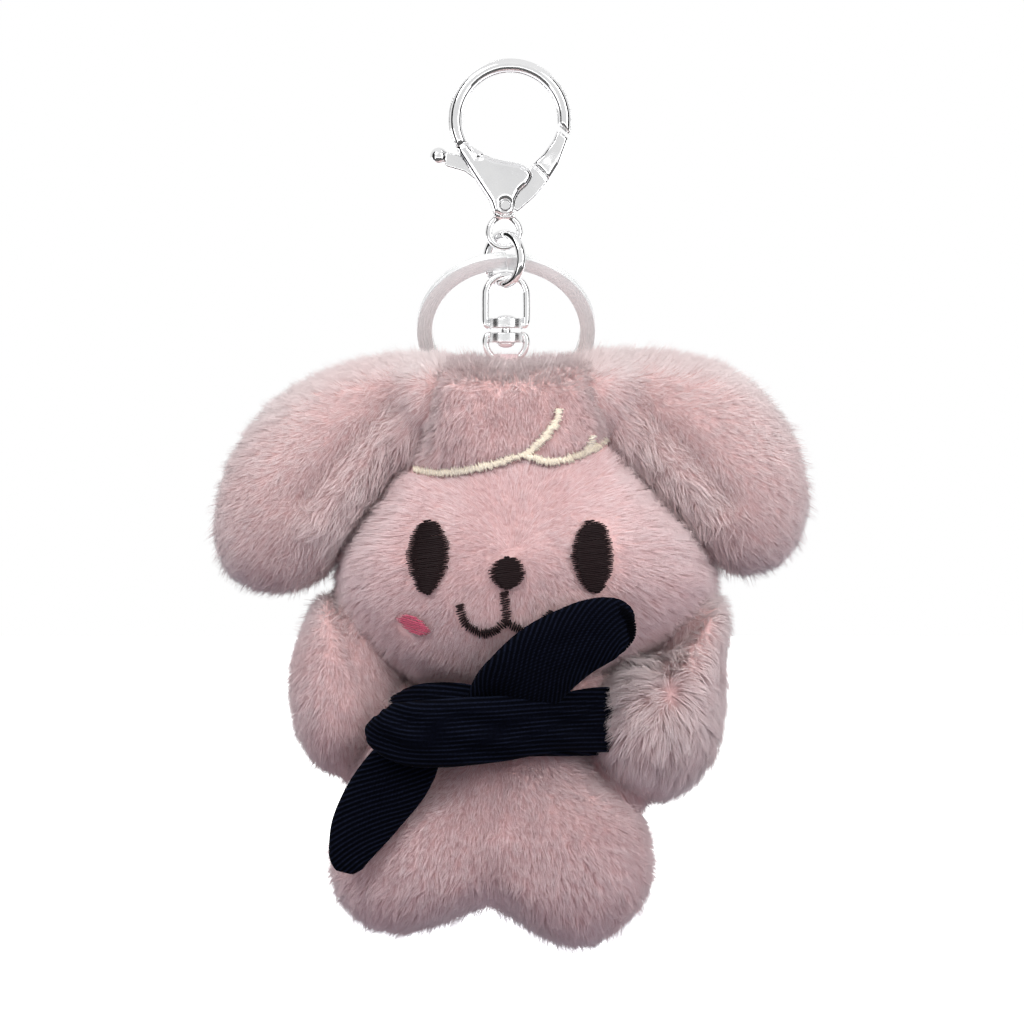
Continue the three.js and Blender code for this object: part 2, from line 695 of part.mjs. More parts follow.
const eyeColour = 0x2a1a1c;
const eyeLeft = [
  [-13, -24.4], [-10.6, -26.4], [-9.4, -30], [-10.6, -34.4], [-13.2, -37], [-15.4, -33.4],
  [-16.2, -28.6],
];
const eyeRight = [
  [13.4, -24.6], [16, -25.6], [17.4, -29.6], [17.2, -33.6], [14.8, -36.8], [12, -34], [10.9, -29],
];
thread('eye_left', stitchPatch(eyeLeft, [-12.9, -30.5]), eyeColour);
thread('eye_right', stitchPatch(eyeRight, [14.2, -30.7]), eyeColour);
const nose = [[0.2, -30.6], [2.4, -32], [2.9, -34], [0.6, -36], [-2, -34.4], [-2.5, -32.2]];
thread('nose', stitchPatch(nose, [0.2, -33.3], 14), eyeColour);
const mouthLeft = [[-7.6, -38.6], [-6.9, -41.4], [-4.6, -43], [-2, -42.9], [-0.2, -41]];
const mouthRight = [[-0.4, -40.6], [1, -42.4], [3.4, -43.2], [6, -42], [7.6, -39.7]];
const lip = [[-0.1, -36.5], [-0.1, -41.2]];
thread('mouth', join(
  stitchLine(mouthLeft, mouthLine), stitchLine(mouthRight, mouthLine), stitchLine(lip, mouthLine, 4),
), eyeColour);
const cheekPoints = (x, z, tilt) => [0, 60, 120, 180, 240, 300].map((turn) => {
  const [c, s] = [Math.cos((turn * Math.PI) / 180) * 2.7, Math.sin((turn * Math.PI) / 180) * 1.5];
  return [x + c, z + s + c * tilt];
});
thread('cheek_left', stitchPatch(cheekPoints(-15.2, -41.9, -0.1), [-15.2, -41.9], 12), 0xd9587c);
thread('cheek_right', stitchPatch(cheekPoints(16.4, -41.9, 0.1), [16.4, -41.9], 12), 0xd9587c);
const fringe = [
  [-15.2, -15.9], [-10.6, -16.9], [-4.8, -16.2], [0, -15], [3.7, -13.7], [6.6, -11], [8.4, -8],
  [8.9, -6.3],
];
const fringeRight = [[3.2, -13.8], [6, -15], [9, -15], [12.4, -13.9], [15.6, -12.4], [16.9, -11.3]];
const fringeHook = [[13.2, -13.5], [14, -12.3], [14.2, -10.8]];
thread('fringe_line', join(
  stitchLine(fringe, hairLine, 20),
  stitchLine(fringeRight, hairLine),
  stitchLine(fringeHook, hairLine, 5),
), 0xf4e9d2);

// ---------------------------------------------------------------- scarf
// the wrap goes round the neck, in the groove between head and body
const wrapZ = onPlush([0, -60])[1];
const neckX = onPlush([-1.4, 0])[0];
const neckAt = wrapZ - scarfHeight / 2; // the widest that the neck gets inside the wrap
const neckHalf = Math.max(...bodyReach(neckAt)) + gap;
const neckFront = -frontOf(body, body.centre[0], neckAt) + gap;
function bodyReach(z) {
  return body.outline.flatMap(([ax, az], i) => {
    const [bx, bz] = body.outline[(i + 1) % body.outline.length];
    if ((az - z) * (bz - z) > 0) return [];
    return [Math.abs(ax + ((bx - ax) * (z - az)) / (bz - az) - neckX)];
  });
}
function neckWrap() {
  const sides = 8;
  const profile = [];
  for (let i = 0; i <= sides; i += 1) {
    const turn = ((i % sides) / sides) * 2 * Math.PI + Math.PI / 8;
    const [c, s] = [Math.cos(turn), Math.sin(turn)];
    const outward = THREE.MathUtils.clamp(c * 1.4, -1, 1);
    const r = neckHalf + (scarfThickness / 2) * (1 + outward);
    profile.push(new THREE.Vector2(r, (scarfHeight / 2) * THREE.MathUtils.clamp(s * 1.2, -1, 1)));
  }
  const geometry = new THREE.LatheGeometry(profile, 28);
  geometry.rotateX(Math.PI / 2);
  geometry.scale(1, (neckFront + scarfThickness) / (neckHalf + scarfThickness), 1);
  geometry.translate(neckX, 0, wrapZ);
  return fromManifold(toManifold(geometry));
}
scarf('scarf_wrap', neckWrap());

// a stuffed-looking cloth end: a thin pillow that leans forward or back from its root
function clothEnd(points, middle, thickness, rootZ, rootY, lean) {
  const outline = smoothOutline(points, 16);
  const geometry = pillow(outline, onPlush(middle), thickness / 2, thickness / 2);
  const root = onPlush([0, rootZ])[1];
  geometry.translate(0, 0, -root);
  geometry.rotateX(lean);
  geometry.translate(0, rootY, root);
  return geometry;
}
const wrapFront = -(neckFront + scarfThickness);
const headFront = -head.front;
const knotOutline = [
  [-21.6, -56], [-16, -54.6], [-9, -55], [-4.8, -58], [-4.6, -63], [-9, -66], [-15, -65.6],
  [-21, -63.4], [-22.6, -59.6],
];
const knotY = wrapFront - gap - knotThickness / 2;
scarf('scarf_knot', clothEnd(knotOutline, [-13.6, -60.3], knotThickness, -60.3, knotY, 0));
const tailUpperOutline = [
  [-3.4, -54.4], [0, -49.6], [6, -44], [11.4, -40.6], [16.6, -40.2], [20.4, -42.4], [20.8, -45.2],
  [16.6, -49.6], [10.6, -53.6], [4, -55.6],
];
const tailUpperY = Math.min(wrapFront, headFront) - gap - tailThickness / 2;
scarf('scarf_tail_upper', clothEnd(tailUpperOutline, [8.4, -48], tailThickness, -54.6, tailUpperY, 0.04));
const tailLowerOutline = [
  [-21.6, -67], [-16, -66.8], [-11, -67.4], [-15, -71], [-19.4, -75.4], [-22, -80], [-24, -83.6],
  [-26.6, -84.4],
  [-28.4, -82.4], [-29, -77.6], [-29, -72], [-25.4, -67.8],
];
const tailLowerY = frontOf(body, ...onPlush([-14, -71])) - gap - tailThickness / 2 - 0.8;
scarf('scarf_tail_lower', clothEnd(tailLowerOutline, [-21.8, -73], tailThickness, -67, tailLowerY, 0.08));

export default group;
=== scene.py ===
"""A plush keychain: nickel lever clasp, jump ring, split key ring and swivel over a pink plush with a twill scarf.

Lengths are in millimetres until mesh_from() makes them metres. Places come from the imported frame's boxes, and
the lines of the scarf, the ear folds and the embroidery are given in the frame's own millimetres.
"""
import math

import bmesh
import bpy
import numpy as np
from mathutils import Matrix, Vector, kdtree
from mathutils.bvhtree import BVHTree


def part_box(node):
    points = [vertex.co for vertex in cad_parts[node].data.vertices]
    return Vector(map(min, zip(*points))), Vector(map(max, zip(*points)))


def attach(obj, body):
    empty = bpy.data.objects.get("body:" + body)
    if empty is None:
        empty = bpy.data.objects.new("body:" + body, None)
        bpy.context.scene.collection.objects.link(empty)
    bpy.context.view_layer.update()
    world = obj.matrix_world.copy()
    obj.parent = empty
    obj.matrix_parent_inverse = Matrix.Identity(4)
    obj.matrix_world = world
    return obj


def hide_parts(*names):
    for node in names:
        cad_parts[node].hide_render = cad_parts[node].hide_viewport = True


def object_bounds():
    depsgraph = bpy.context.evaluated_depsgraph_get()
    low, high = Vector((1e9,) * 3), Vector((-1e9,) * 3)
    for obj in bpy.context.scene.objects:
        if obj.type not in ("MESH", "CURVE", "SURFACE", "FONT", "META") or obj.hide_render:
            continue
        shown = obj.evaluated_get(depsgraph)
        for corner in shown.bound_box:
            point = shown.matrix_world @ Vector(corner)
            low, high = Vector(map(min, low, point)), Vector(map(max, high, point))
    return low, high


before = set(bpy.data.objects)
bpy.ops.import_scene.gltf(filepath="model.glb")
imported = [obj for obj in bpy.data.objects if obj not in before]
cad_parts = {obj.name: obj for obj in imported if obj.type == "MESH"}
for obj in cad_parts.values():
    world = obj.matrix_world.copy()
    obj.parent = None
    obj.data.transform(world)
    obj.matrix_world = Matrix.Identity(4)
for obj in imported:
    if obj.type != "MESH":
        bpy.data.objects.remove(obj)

CAD_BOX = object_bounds()
MM = 0.001
ROUND_SHADING = 0.35
random = np.random.default_rng(11)


# ---------------------------------------------------------------- small helpers

def corners(node):
    """A CAD node's lowest and highest corner in millimetres."""
    low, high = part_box(node)
    return np.array(low) / MM, np.array(high) / MM


def middle(node):
    low, high = corners(node)
    return (low + high) / 2


def unit(v):
    return v / np.maximum(np.linalg.norm(v, axis=-1, keepdims=True), 1e-9)


def smoothstep(low, high, x):
    t = np.clip((x - low) / (high - low), 0, 1)
    return t * t * (3 - 2 * t)


def show(mesh, name, material, body, replaces=()):
    """Puts a mesh in the scene as a piece that rides on a body."""
    piece = bpy.data.objects.new(name, mesh)
    bpy.context.scene.collection.objects.link(piece)
    mesh.materials.clear()
    mesh.materials.append(material)
    if not mesh.has_custom_normals:
        mesh.shade_smooth()
    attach(piece, body)
    if replaces:
        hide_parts(*replaces)
    return piece


def mesh_from(name, points, faces):
    """A mesh from points in millimetres."""
    mesh = bpy.data.meshes.new(name)
    mesh.from_pydata((np.asarray(points) * MM).tolist(), [], [list(map(int, f)) for f in faces])
    mesh.update()
    return mesh


def give(mesh, name, values):
    """A number for each vertex, which the materials read."""
    layer = mesh.attributes.new(name, "FLOAT", "POINT")
    layer.data.foreach_set("value", np.asarray(values, np.float32))


def vertices_of(mesh):
    co = np.zeros(len(mesh.vertices) * 3)
    mesh.vertices.foreach_get("co", co)
    return co.reshape(-1, 3) / MM


def normals_of(mesh):
    n = np.zeros(len(mesh.vertices) * 3)
    mesh.vertex_normals.foreach_get("vector", n)
    return n.reshape(-1, 3)


def set_vertices(mesh, points):
    mesh.vertices.foreach_set("co", (points * MM).astype(np.float32).ravel())
    mesh.update()


def triangles_of(mesh):
    mesh.calc_loop_triangles()
    t = np.zeros(len(mesh.loop_triangles) * 3, np.int64)
    mesh.loop_triangles.foreach_get("vertices", t)
    return t.reshape(-1, 3)


def tree_of(mesh):
    return BVHTree.FromPolygons((vertices_of(mesh)).tolist(), triangles_of(mesh).tolist())


def joined(name, nodes, extra=()):
    """One mesh from several CAD nodes and ellipsoids."""
    bm = bmesh.new()
    for node in nodes:
        bm.from_mesh(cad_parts[node].data)
    for centre, radii in extra:
        ellipsoid(bm, centre, radii)
    mesh = bpy.data.meshes.new(name)
    bm.to_mesh(mesh)
    bm.free()
    return mesh


def largest_island(mesh):
    """Keeps the biggest closed surface, so that no inner wall of a remeshed solid is left."""
    bm = bmesh.new()
    bm.from_mesh(mesh)
    bm.verts.ensure_lookup_table()
    seen, best = set(), []
    for start in bm.verts:
        if start.index in seen:
            continue
        island, edge = [start], [start]
        seen.add(start.index)
        while edge:
            v = edge.pop()
            for e in v.link_edges:
                other = e.other_vert(v)
                if other.index not in seen:
                    seen.add(other.index)
                    island.append(other)
                    edge.append(other)
        if len(island) > len(best):
            best = island
    keep = set(v.index for v in best)
    bmesh.ops.delete(bm, geom=[v for v in bm.verts if v.index not in keep], context="VERTS")
    bm.to_mesh(mesh)
    bm.free()
    return mesh


def melted(name, nodes, voxel, rounds, extra=()):
    """CAD solids and any extra (centre, radii) ellipsoids, remeshed into one even closed skin with rounded edges."""
    holder = bpy.data.objects.new(name, joined(name, nodes, extra))
    bpy.context.scene.collection.objects.link(holder)
    remesh = holder.modifiers.new("even", "REMESH")
    remesh.mode = "VOXEL"
    remesh.voxel_size = voxel * MM
    soften = holder.modifiers.new("round", "SMOOTH")
    soften.factor = 0.5
    soften.iterations = rounds
    shown = holder.evaluated_get(bpy.context.evaluated_depsgraph_get())
    mesh = bpy.data.meshes.new_from_object(shown)
    mesh.name = name
    bpy.data.objects.remove(holder)
    return largest_island(mesh)


# ---------------------------------------------------------------- materials

class Nodes:
    """A material's node tree, with short calls for what the materials here need."""

    def __init__(self, name, **settings):
        self.material = bpy.data.materials.new(name)
        self.material.use_nodes = True
        self.tree = self.material.node_tree
        self.shader = self.tree.nodes["Principled BSDF"]
        for socket, value in settings.items():
            self.shader.inputs[socket.replace("_", " ")].default_value = value

    def add(self, kind, **settings):
        node = self.tree.nodes.new(kind)
        for key, value in settings.items():
            setattr(node, key, value)
        return node

    def link(self, a, b):
        self.tree.links.new(a, b)

    def here(self):
        return self.add("ShaderNodeTexCoord").outputs["Object"]

    def number(self, name):
        return self.add("ShaderNodeAttribute", attribute_name=name).outputs["Fac"]

    def noise(self, scale, detail=3, roughness=0.5, vector=None):
        node = self.add("ShaderNodeTexNoise")
        node.inputs["Scale"].default_value = scale
        node.inputs["Detail"].default_value = detail
        node.inputs["Roughness"].default_value = roughness
        self.link(vector or self.here(), node.inputs["Vector"])
        return node.outputs["Fac"]

    def stretched(self, scale):
        node = self.add("ShaderNodeMapping")
        node.inputs["Scale"].default_value = scale
        self.link(self.here(), node.inputs["Vector"])
        return node.outputs["Vector"]

    def ramp(self, factor, *stops):
        """stops are (place, colour) or (place, grey)."""
        node = self.add("ShaderNodeValToRGB")
        elements = node.color_ramp.elements
        while len(elements) < len(stops):
            elements.new(0.5)
        for element, (place, colour) in zip(elements, stops):
            element.position = place
            colour = (colour,) * 3 if isinstance(colour, (int, float)) else colour
            element.color = (*colour, 1)
        self.link(factor, node.inputs["Fac"])
        return node.outputs["Color"]

    def multiplied(self, a, b):
        """Two colours multiplied. Inputs 0, 6 and 7 and output 2 are the node's factor and colour sockets."""
        node = self.add("ShaderNodeMix", data_type="RGBA", blend_type="MULTIPLY")
        node.inputs[0].default_value = 1.0
        self.link(a, node.inputs[6])
        self.link(b, node.inputs[7])
        return node.outputs[2]

    def math(self, operation, *values):
        node = self.add("ShaderNodeMath", operation=operation)
        for socket, value in zip(node.inputs, values):
            if isinstance(value, (int, float)):
                socket.default_value = value
            else:
                self.link(value, socket)
        return node.outputs[0]

    def colour(self, output):
        self.link(output, self.shader.inputs["Base Color"])

    def roughness(self, output):
        self.link(output, self.shader.inputs["Roughness"])

    def bump(self, height, strength, distance):
        node = self.add("ShaderNodeBump")
        node.inputs["Strength"].default_value = strength
        node.inputs["Distance"].default_value = distance * MM
        self.link(height, node.inputs["Height"])
        self.link(node.outputs["Normal"], self.shader.inputs["Normal"])


def polished_nickel():
    m = Nodes("polished_nickel", Metallic=1.0, Roughness=0.08)
    cloud = m.noise(160, detail=4)
    m.colour(m.ramp(cloud, (0.3, (0.83, 0.83, 0.84)), (0.7, (0.92, 0.92, 0.92))))
    m.roughness(m.ramp(m.noise(700, detail=3), (0.35, 0.05), (0.75, 0.16)))
    m.bump(m.noise(2600, detail=4), 0.06, 0.05)
    return m.material


def plate_steel():
    m = Nodes("plate_steel", Metallic=1.0, Roughness=0.3)
    lines = m.noise(1, detail=5, roughness=0.7, vector=m.stretched((60, 60, 9000)))
    m.colour(m.ramp(lines, (0.3, (0.66, 0.67, 0.68)), (0.7, (0.88, 0.88, 0.88))))
    m.roughness(m.ramp(lines, (0.3, 0.36), (0.7, 0.2)))
    m.bump(lines, 0.15, 0.02)
    return m.material


def ring_steel():
    """Satin steel with fine lines that run round the ring, across its width."""
    m = Nodes("ring_steel", Metallic=0.3, Roughness=0.3)
    across = m.number("across")
    lane = m.add("ShaderNodeCombineXYZ")
    m.link(across, lane.inputs["X"])
    m.link(m.math("MULTIPLY", m.number("along"), 0.02), lane.inputs["Y"])
    lines = m.noise(14, detail=5, roughness=0.7, vector=lane.outputs["Vector"])
    m.colour(m.ramp(lines, (0.3, (0.70, 0.71, 0.71)), (0.7, (0.86, 0.87, 0.86))))
    m.roughness(m.ramp(lines, (0.3, 0.34), (0.7, 0.2)))
    m.bump(lines, 0.12, 0.02)
    return m.material


def pile(name, root, mid, tip):
    """Plush fibre: darker at its root, as painted shade deep in the pile, and paler at its tip, with each fibre and
    each patch its own tone at random.
    """
    m = Nodes(name, Roughness=0.62, Specular_IOR_Level=0.28, Sheen_Weight=0.35, Sheen_Roughness=0.45)
    m.shader.inputs["Sheen Tint"].default_value = (1.0, 0.93, 0.92, 1)
    # painted shade: the colour darkens from the tip down to the root, where the pile shades itself
    along = m.ramp(m.number("tip"), (0.0, root), (0.45, mid), (1.0, tip))
    shade = m.ramp(m.number("shade"), (0.0, (0.92, 0.90, 0.90)), (0.5, (0.98, 0.97, 0.97)), (1.0, (1.0, 1.0, 1.0)))
    patch = m.ramp(m.noise(90, detail=2), (0.35, (0.95, 0.90, 0.90)), (0.65, (1.0, 1.0, 1.0)))
    m.colour(m.multiplied(m.multiplied(along, shade), patch))
    return m.material


def backing(name, low, high):
    """The knitted ground that the pile stands in."""
    m = Nodes(name, Roughness=0.85, Specular_IOR_Level=0.2, Sheen_Weight=0.3)
    knit = m.noise(2200, detail=4)
    m.colour(m.ramp(knit, (0.3, low), (0.7, high)))
    m.bump(knit, 0.5, 0.15)
    return m.material


def thread(name, dark, light, sheen=0.4):
    """Embroidery thread: a twisted strand, with a soft shine along its length painted into its colour, lighter on one
    side of the thread and darker on the other.
    """
    m = Nodes(name, Roughness=0.5, Specular_IOR_Level=0.15, Sheen_Weight=sheen)
    # painted highlight and painted shade: the colour is light on one side of each thread and dark on the other
    painted_shine = m.ramp(m.number("painted_shine"), (0.0, dark), (0.5, light), (1.0, dark))
    fuzz = m.ramp(m.noise(3000, detail=2), (0.3, 0.75), (0.7, 1.0))
    m.colour(m.multiplied(painted_shine, fuzz))
    m.bump(m.noise(5200, detail=2), 0.4, 0.05)
    return m.material


def twill():
    """Navy ribbed twill, with a painted highlight on the ribs' crests and painted shade, near black, in the furrows
    between them.
    """
    m = Nodes("twill", Roughness=0.9, Specular_IOR_Level=0.03, Sheen_Weight=0.012, Sheen_Roughness=0.5)
    m.shader.inputs["Sheen Tint"].default_value = (0.45, 0.55, 0.85, 1)
    # painted highlight on the crests and painted shade in the furrows of the rib ridges
    furrow, flank, crest = (0.0004, 0.0005, 0.0016), (0.0014, 0.0019, 0.0058), (0.0085, 0.0115, 0.025)
    rib = m.ramp(m.number("rib"), (0.0, furrow), (0.55, flank), (1.0, crest))
    yarn = m.ramp(m.noise(2400, detail=3), (0.3, 0.45), (0.7, 1.0))
    m.colour(m.multiplied(rib, yarn))
    m.bump(m.noise(4200, detail=3), 0.5, 0.06)
    return m.material


def woven_ribbon():
    m = Nodes("woven_ribbon", Roughness=0.55, Sheen_Weight=0.3)
    weave = m.noise(1, detail=2, vector=m.stretched((5200, 1200, 1200)))
    m.colour(m.ramp(weave, (0.3, (0.62, 0.42, 0.44)), (0.7, (0.82, 0.62, 0.63))))
    m.bump(weave, 0.5, 0.05)
    return m.material


NICKEL = polished_nickel()
PLATE_STEEL = plate_steel()
RING_STEEL = ring_steel()
# each pile's first colour, at the root, is darker as painted shade deep in the pile
PILE = pile("pink_pile", (0.80, 0.49, 0.49), (0.94, 0.69, 0.69), (1.0, 0.84, 0.84))
PALE_PILE = pile("pale_pile", (0.78, 0.50, 0.49), (0.92, 0.71, 0.70), (0.98, 0.87, 0.86))
BACKING = backing("pile_backing", (0.72, 0.43, 0.41), (0.82, 0.56, 0.55))
DARK_THREAD = thread("dark_thread", (0.006, 0.0024, 0.003), (0.026, 0.012, 0.013), sheen=0.0)
PINK_THREAD = thread("pink_thread", (0.50, 0.045, 0.11), (0.78, 0.16, 0.25))
CREAM_THREAD = thread("cream_thread", (0.84, 0.72, 0.54), (0.99, 0.94, 0.84))
TWILL = twill()
RIBBON = woven_ribbon()


# ---------------------------------------------------------------- tubes and turned pieces

def along_curve(points, step, closed=False):
    """A Catmull-Rom curve through the points, sampled at about this step."""
    points = np.asarray(points, float)
    count = len(points)
    spans = count if closed else count - 1
    out = []
    for i in range(spans):
        if closed:
            p = [points[(i + k - 1) % count] for k in range(4)]
        else:
            p = [points[min(max(i + k - 1, 0), count - 1)] for k in range(4)]
        n = max(1, int(round(np.linalg.norm(p[2] - p[1]) / step)))
        for t in np.arange(n) / n:
            out.append(0.5 * (2 * p[1] + (p[2] - p[0]) * t + (2 * p[0] - 5 * p[1] + 4 * p[2] - p[3]) * t**2
                              + (3 * p[1] - p[0] - 3 * p[2] + p[3]) * t**3))
    if not closed:
        out.append(points[-1])
    return np.array(out)


def circles(s, b, sides):
    """Unit circles of this many points in the planes of the direction pairs s and b."""
    angle = np.arange(sides) * 2 * math.pi / sides
    return s[:, None, :] * np.cos(angle)[None, :, None] + b[:, None, :] * np.sin(angle)[None, :, None]


def direction(path, closed=False):
    """The unit direction along a path at each of its points."""
    return unit(np.roll(path, -1, 0) - np.roll(path, 1, 0)) if closed else unit(np.gradient(path, axis=0))


def swept_faces(rows, around, closed=False):
    """Faces between rows of points that each go once round a section, with a cap at each end unless it's closed."""
    faces = [(i * around + k, i * around + (k + 1) % around,
              (i + 1) % rows * around + (k + 1) % around, (i + 1) % rows * around + k)
             for i in range(rows if closed else rows - 1) for k in range(around)]
    if not closed:
        faces.append(tuple(range(around - 1, -1, -1)))
        faces.append(tuple((rows - 1) * around + k for k in range(around)))
    return faces


def tube(centre, radius, sides):
    """Points and faces of a round tube. radius is a number or one for each centre point."""
    centre = np.asarray(centre, float)
    n = len(centre)
    tangent = direction(centre)
    side = np.cross(tangent[0], (0.31, 0.87, 0.38))
    sides_at = [unit(side)]
    for i in range(1, n):
        s = sides_at[-1] - tangent[i] * (sides_at[-1] @ tangent[i])
        sides_at.append(unit(s))
    s = np.array(sides_at)
    b = np.cross(tangent, s)
    radius = np.broadcast_to(radius, n).astype(float)
    points = (centre[:, None, :] + circles(s, b, sides) * radius[:, None, None]).reshape(-1, 3)
    return points, swept_faces(n, sides)


def gathered(parts):
    """One list of points and faces from several."""
    points, faces, start = [], [], 0
    for p, f in parts:
        points.append(np.asarray(p))
        faces += [tuple(i + start for i in face) for face in f]
        start += len(p)
    return np.concatenate(points), faces


def turned(profile, centre, axis=2, segments=64):
    """A solid of revolution. profile is (radius, height) from bottom to top, starting and ending on the axis."""
    points, faces, rings = [], [], []
    for r, h in profile:
        if r < 1e-6:
            rings.append([len(points)])
            points.append((0, 0, h))
        else:
            rings.append(list(range(len(points), len(points) + segments)))
            for a in np.arange(segments) * 2 * math.pi / segments:
                points.append((r * math.cos(a), r * math.sin(a), h))
    for low, high in zip(rings, rings[1:]):
        for k in range(segments):
            l = (k + 1) % segments
            if len(low) == 1:
                faces.append((low[0], high[l], high[k]))
            elif len(high) == 1:
                faces.append((low[k], low[l], high[0]))
            else:
                faces.append((low[k], low[l], high[l], high[k]))
    points = np.array(points)
    if axis == 1:
        points = points[:, [0, 2, 1]] * (1, 1, -1)
    return points + centre, faces


def rounded_profile(radius, low, high, edge):
    """A disc's outline, with its two edges rounded."""
    a = np.linspace(0, math.pi / 2, 5)
    bottom = [(radius - edge + edge * math.sin(t), low + edge - edge * math.cos(t)) for t in a]
    top = [(radius - edge + edge * math.cos(t), high - edge + edge * math.sin(t)) for t in a]
    return [(0, low)] + bottom + top + [(0, high)]


# ---------------------------------------------------------------- clasp, rings and swivel

DOME_WIDTH = 1.5          # how far in from its side outline the clasp's face still rises
DOME_DEPTH = 0.6          # how far the face falls at that outline
CLASP_PLATING = 0.09      # what smoothing took off the clasp, given back
LEVER_REACH = (7.5, 13.0)  # where the gate thickens, from its pivot to its tip


def build_clasp():
    body = melted("clasp_shell", ["clasp_body"], 0.17, 26)
    at, n = vertices_of(body), normals_of(body)
    at = at + n * CLASP_PLATING
    sides = at[np.abs(n[:, 1]) < 0.3][::3]
    tree = kdtree.KDTree(len(sides))
    for i, q in enumerate(sides):
        tree.insert((q[0], 0, q[2]), i)
    tree.balance()
    inward = np.array([min(tree.find((q[0], 0, q[2]))[2] / DOME_WIDTH, 1.0) for q in at])
    fall = DOME_DEPTH * (1 - np.sqrt(1 - (1 - inward) ** 2)) * smoothstep(0.95, 1.45, np.abs(at[:, 1]))
    at[:, 1] -= np.sign(at[:, 1]) * fall
    set_vertices(body, at)
    show(body, "clasp_shell", NICKEL, "clasp", ["clasp_body"])
    gate = melted("clasp_lever_gate", ["clasp_gate"], 0.15, 16)
    at = vertices_of(gate) + normals_of(gate) * 0.05
    pivot = middle("clasp_pivot_pin")
    reach = np.hypot(at[:, 0] - pivot[0], at[:, 2] - pivot[2])
    thin = (0.84 + 0.66 * smoothstep(*LEVER_REACH, reach)) / 1.5
    at[:, 1] *= np.where((reach > 7.9) & (at[:, 0] > pivot[0]), thin, 1.0)
    set_vertices(gate, at)
    show(gate, "clasp_lever_gate", NICKEL, "gate", ["clasp_gate"])
    low, high = corners("clasp_pivot_pin")
    centre, radius = (low + high) / 2, (high[0] - low[0]) / 2
    half = (high[1] - low[1]) / 2 - 0.04
    points, faces = turned(rounded_profile(radius, -half, half, 0.07), centre, axis=1, segments=40)
    show(mesh_from("pivot_pin", points, faces), "pivot_pin", NICKEL, "clasp", ["clasp_pivot_pin"])
    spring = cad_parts["clasp_spring"].data.materials
    spring.clear()
    spring.append(PLATE_STEEL)


JUMP_RING_TURN = math.radians(48)
JUMP_RING_CUT = math.radians(215)


def build_jump_ring():
    """A round wire ring, turned so that its right side comes to the front, with its cut at the bottom back."""
    low, high = corners("jump_ring")
    centre, wire = (low + high) / 2, 0.8
    radius = (high[2] - low[2]) / 2 - wire
    across = np.array([math.cos(JUMP_RING_TURN), -math.sin(JUMP_RING_TURN), 0])
    gap = 0.03
    angle = np.linspace(JUMP_RING_CUT + gap, JUMP_RING_CUT + 2 * math.pi - gap, 120)
    path = centre + radius * (np.cos(angle)[:, None] * across + np.sin(angle)[:, None] * np.array([0, 0, 1]))
    thickness = np.full(len(path), wire)
    thickness[[0, -1]] = wire * 0.9
    points, faces = tube(path, thickness, 28)
    mesh = mesh_from("jump_ring_wire", points, faces)
    show(mesh, "jump_ring_wire", NICKEL, "jump_link", ["jump_ring"])


KEY_RING_LEAN = math.radians(35)
KEY_RING_BAND = 2.6
KEY_RING_LEAF = 0.84


def build_key_ring():
    """Flat steel wound twice round, where one turn steps over the other at the top."""
    low, high = corners("split_key_ring")
    centre = (low + high) / 2
    radius = (high[0] - low[0]) / 2 - KEY_RING_BAND / 2
    down = np.array([0, math.sin(KEY_RING_LEAN), -math.cos(KEY_RING_LEAN)])
    out = np.array([0, math.cos(KEY_RING_LEAN), math.sin(KEY_RING_LEAN)])
    right = np.array([1.0, 0, 0])
    steps = 420
    turn = np.linspace(0, 4 * math.pi, steps)
    step = smoothstep(2 * math.pi - 0.30, 2 * math.pi + 0.10, turn)
    layer = (step - 0.5) * (KEY_RING_LEAF + 0.06)
    a, edge = KEY_RING_BAND / 2, 0.2
    h = KEY_RING_LEAF / 2
    section = []
    for right_side, upper_side, begin in ((1, 1, 0), (-1, 1, 90), (-1, -1, 180), (1, -1, 270)):
        for t in np.linspace(0, 90, 4):
            g = math.radians(begin + t)
            section.append((right_side * (a - edge) + edge * math.cos(g),
                            upper_side * (h - edge) + edge * math.sin(g)))
    section = np.array(section)
    n = len(section)
    top = -down
    ring = np.sin(turn)[:, None] * -right + np.cos(turn)[:, None] * top
    pull = np.ones(steps)
    pull[0] = pull[-1] = 0.86
    points = (centre + ring[:, None, :] * (radius + section[None, :, 0:1] * pull[:, None, None])
              + (-out)[None, None, :] * (layer[:, None, None] + section[None, :, 1:2] * pull[:, None, None]))
    mesh = mesh_from("key_ring_coil", points.reshape(-1, 3), swept_faces(steps, n))
    give(mesh, "across", np.tile(section[:, 0], steps))
    give(mesh, "along", np.repeat(turn * radius, n))
    show(mesh, "key_ring_coil", RING_STEEL, "key_ring", ["split_key_ring"])


BAIL_WIRE = 0.6
PLATE_HEIGHT = 1.8
PLATE_BEVEL = 0.12
PLATE_ROUNDING = 0.22


def bail_path(centre_x, half, arch_z, foot_z, up):
    """A U of wire: two legs and a round arch. up is 1 for an arch above the legs and -1 for one below."""
    bend = 0.9
    left = [(-half + bend, foot_z), (-half + bend * 0.3, foot_z + up * bend * 0.12), (-half, foot_z + up * bend)]
    spring = arch_z - up * half
    arch = [(-half * math.cos(t), spring + up * half * math.sin(t)) for t in np.linspace(0, math.pi, 13)]
    right = [(-x, z) for x, z in reversed(left)]
    return np.array([(centre_x + x, 0, z) for x, z in left + arch + right])


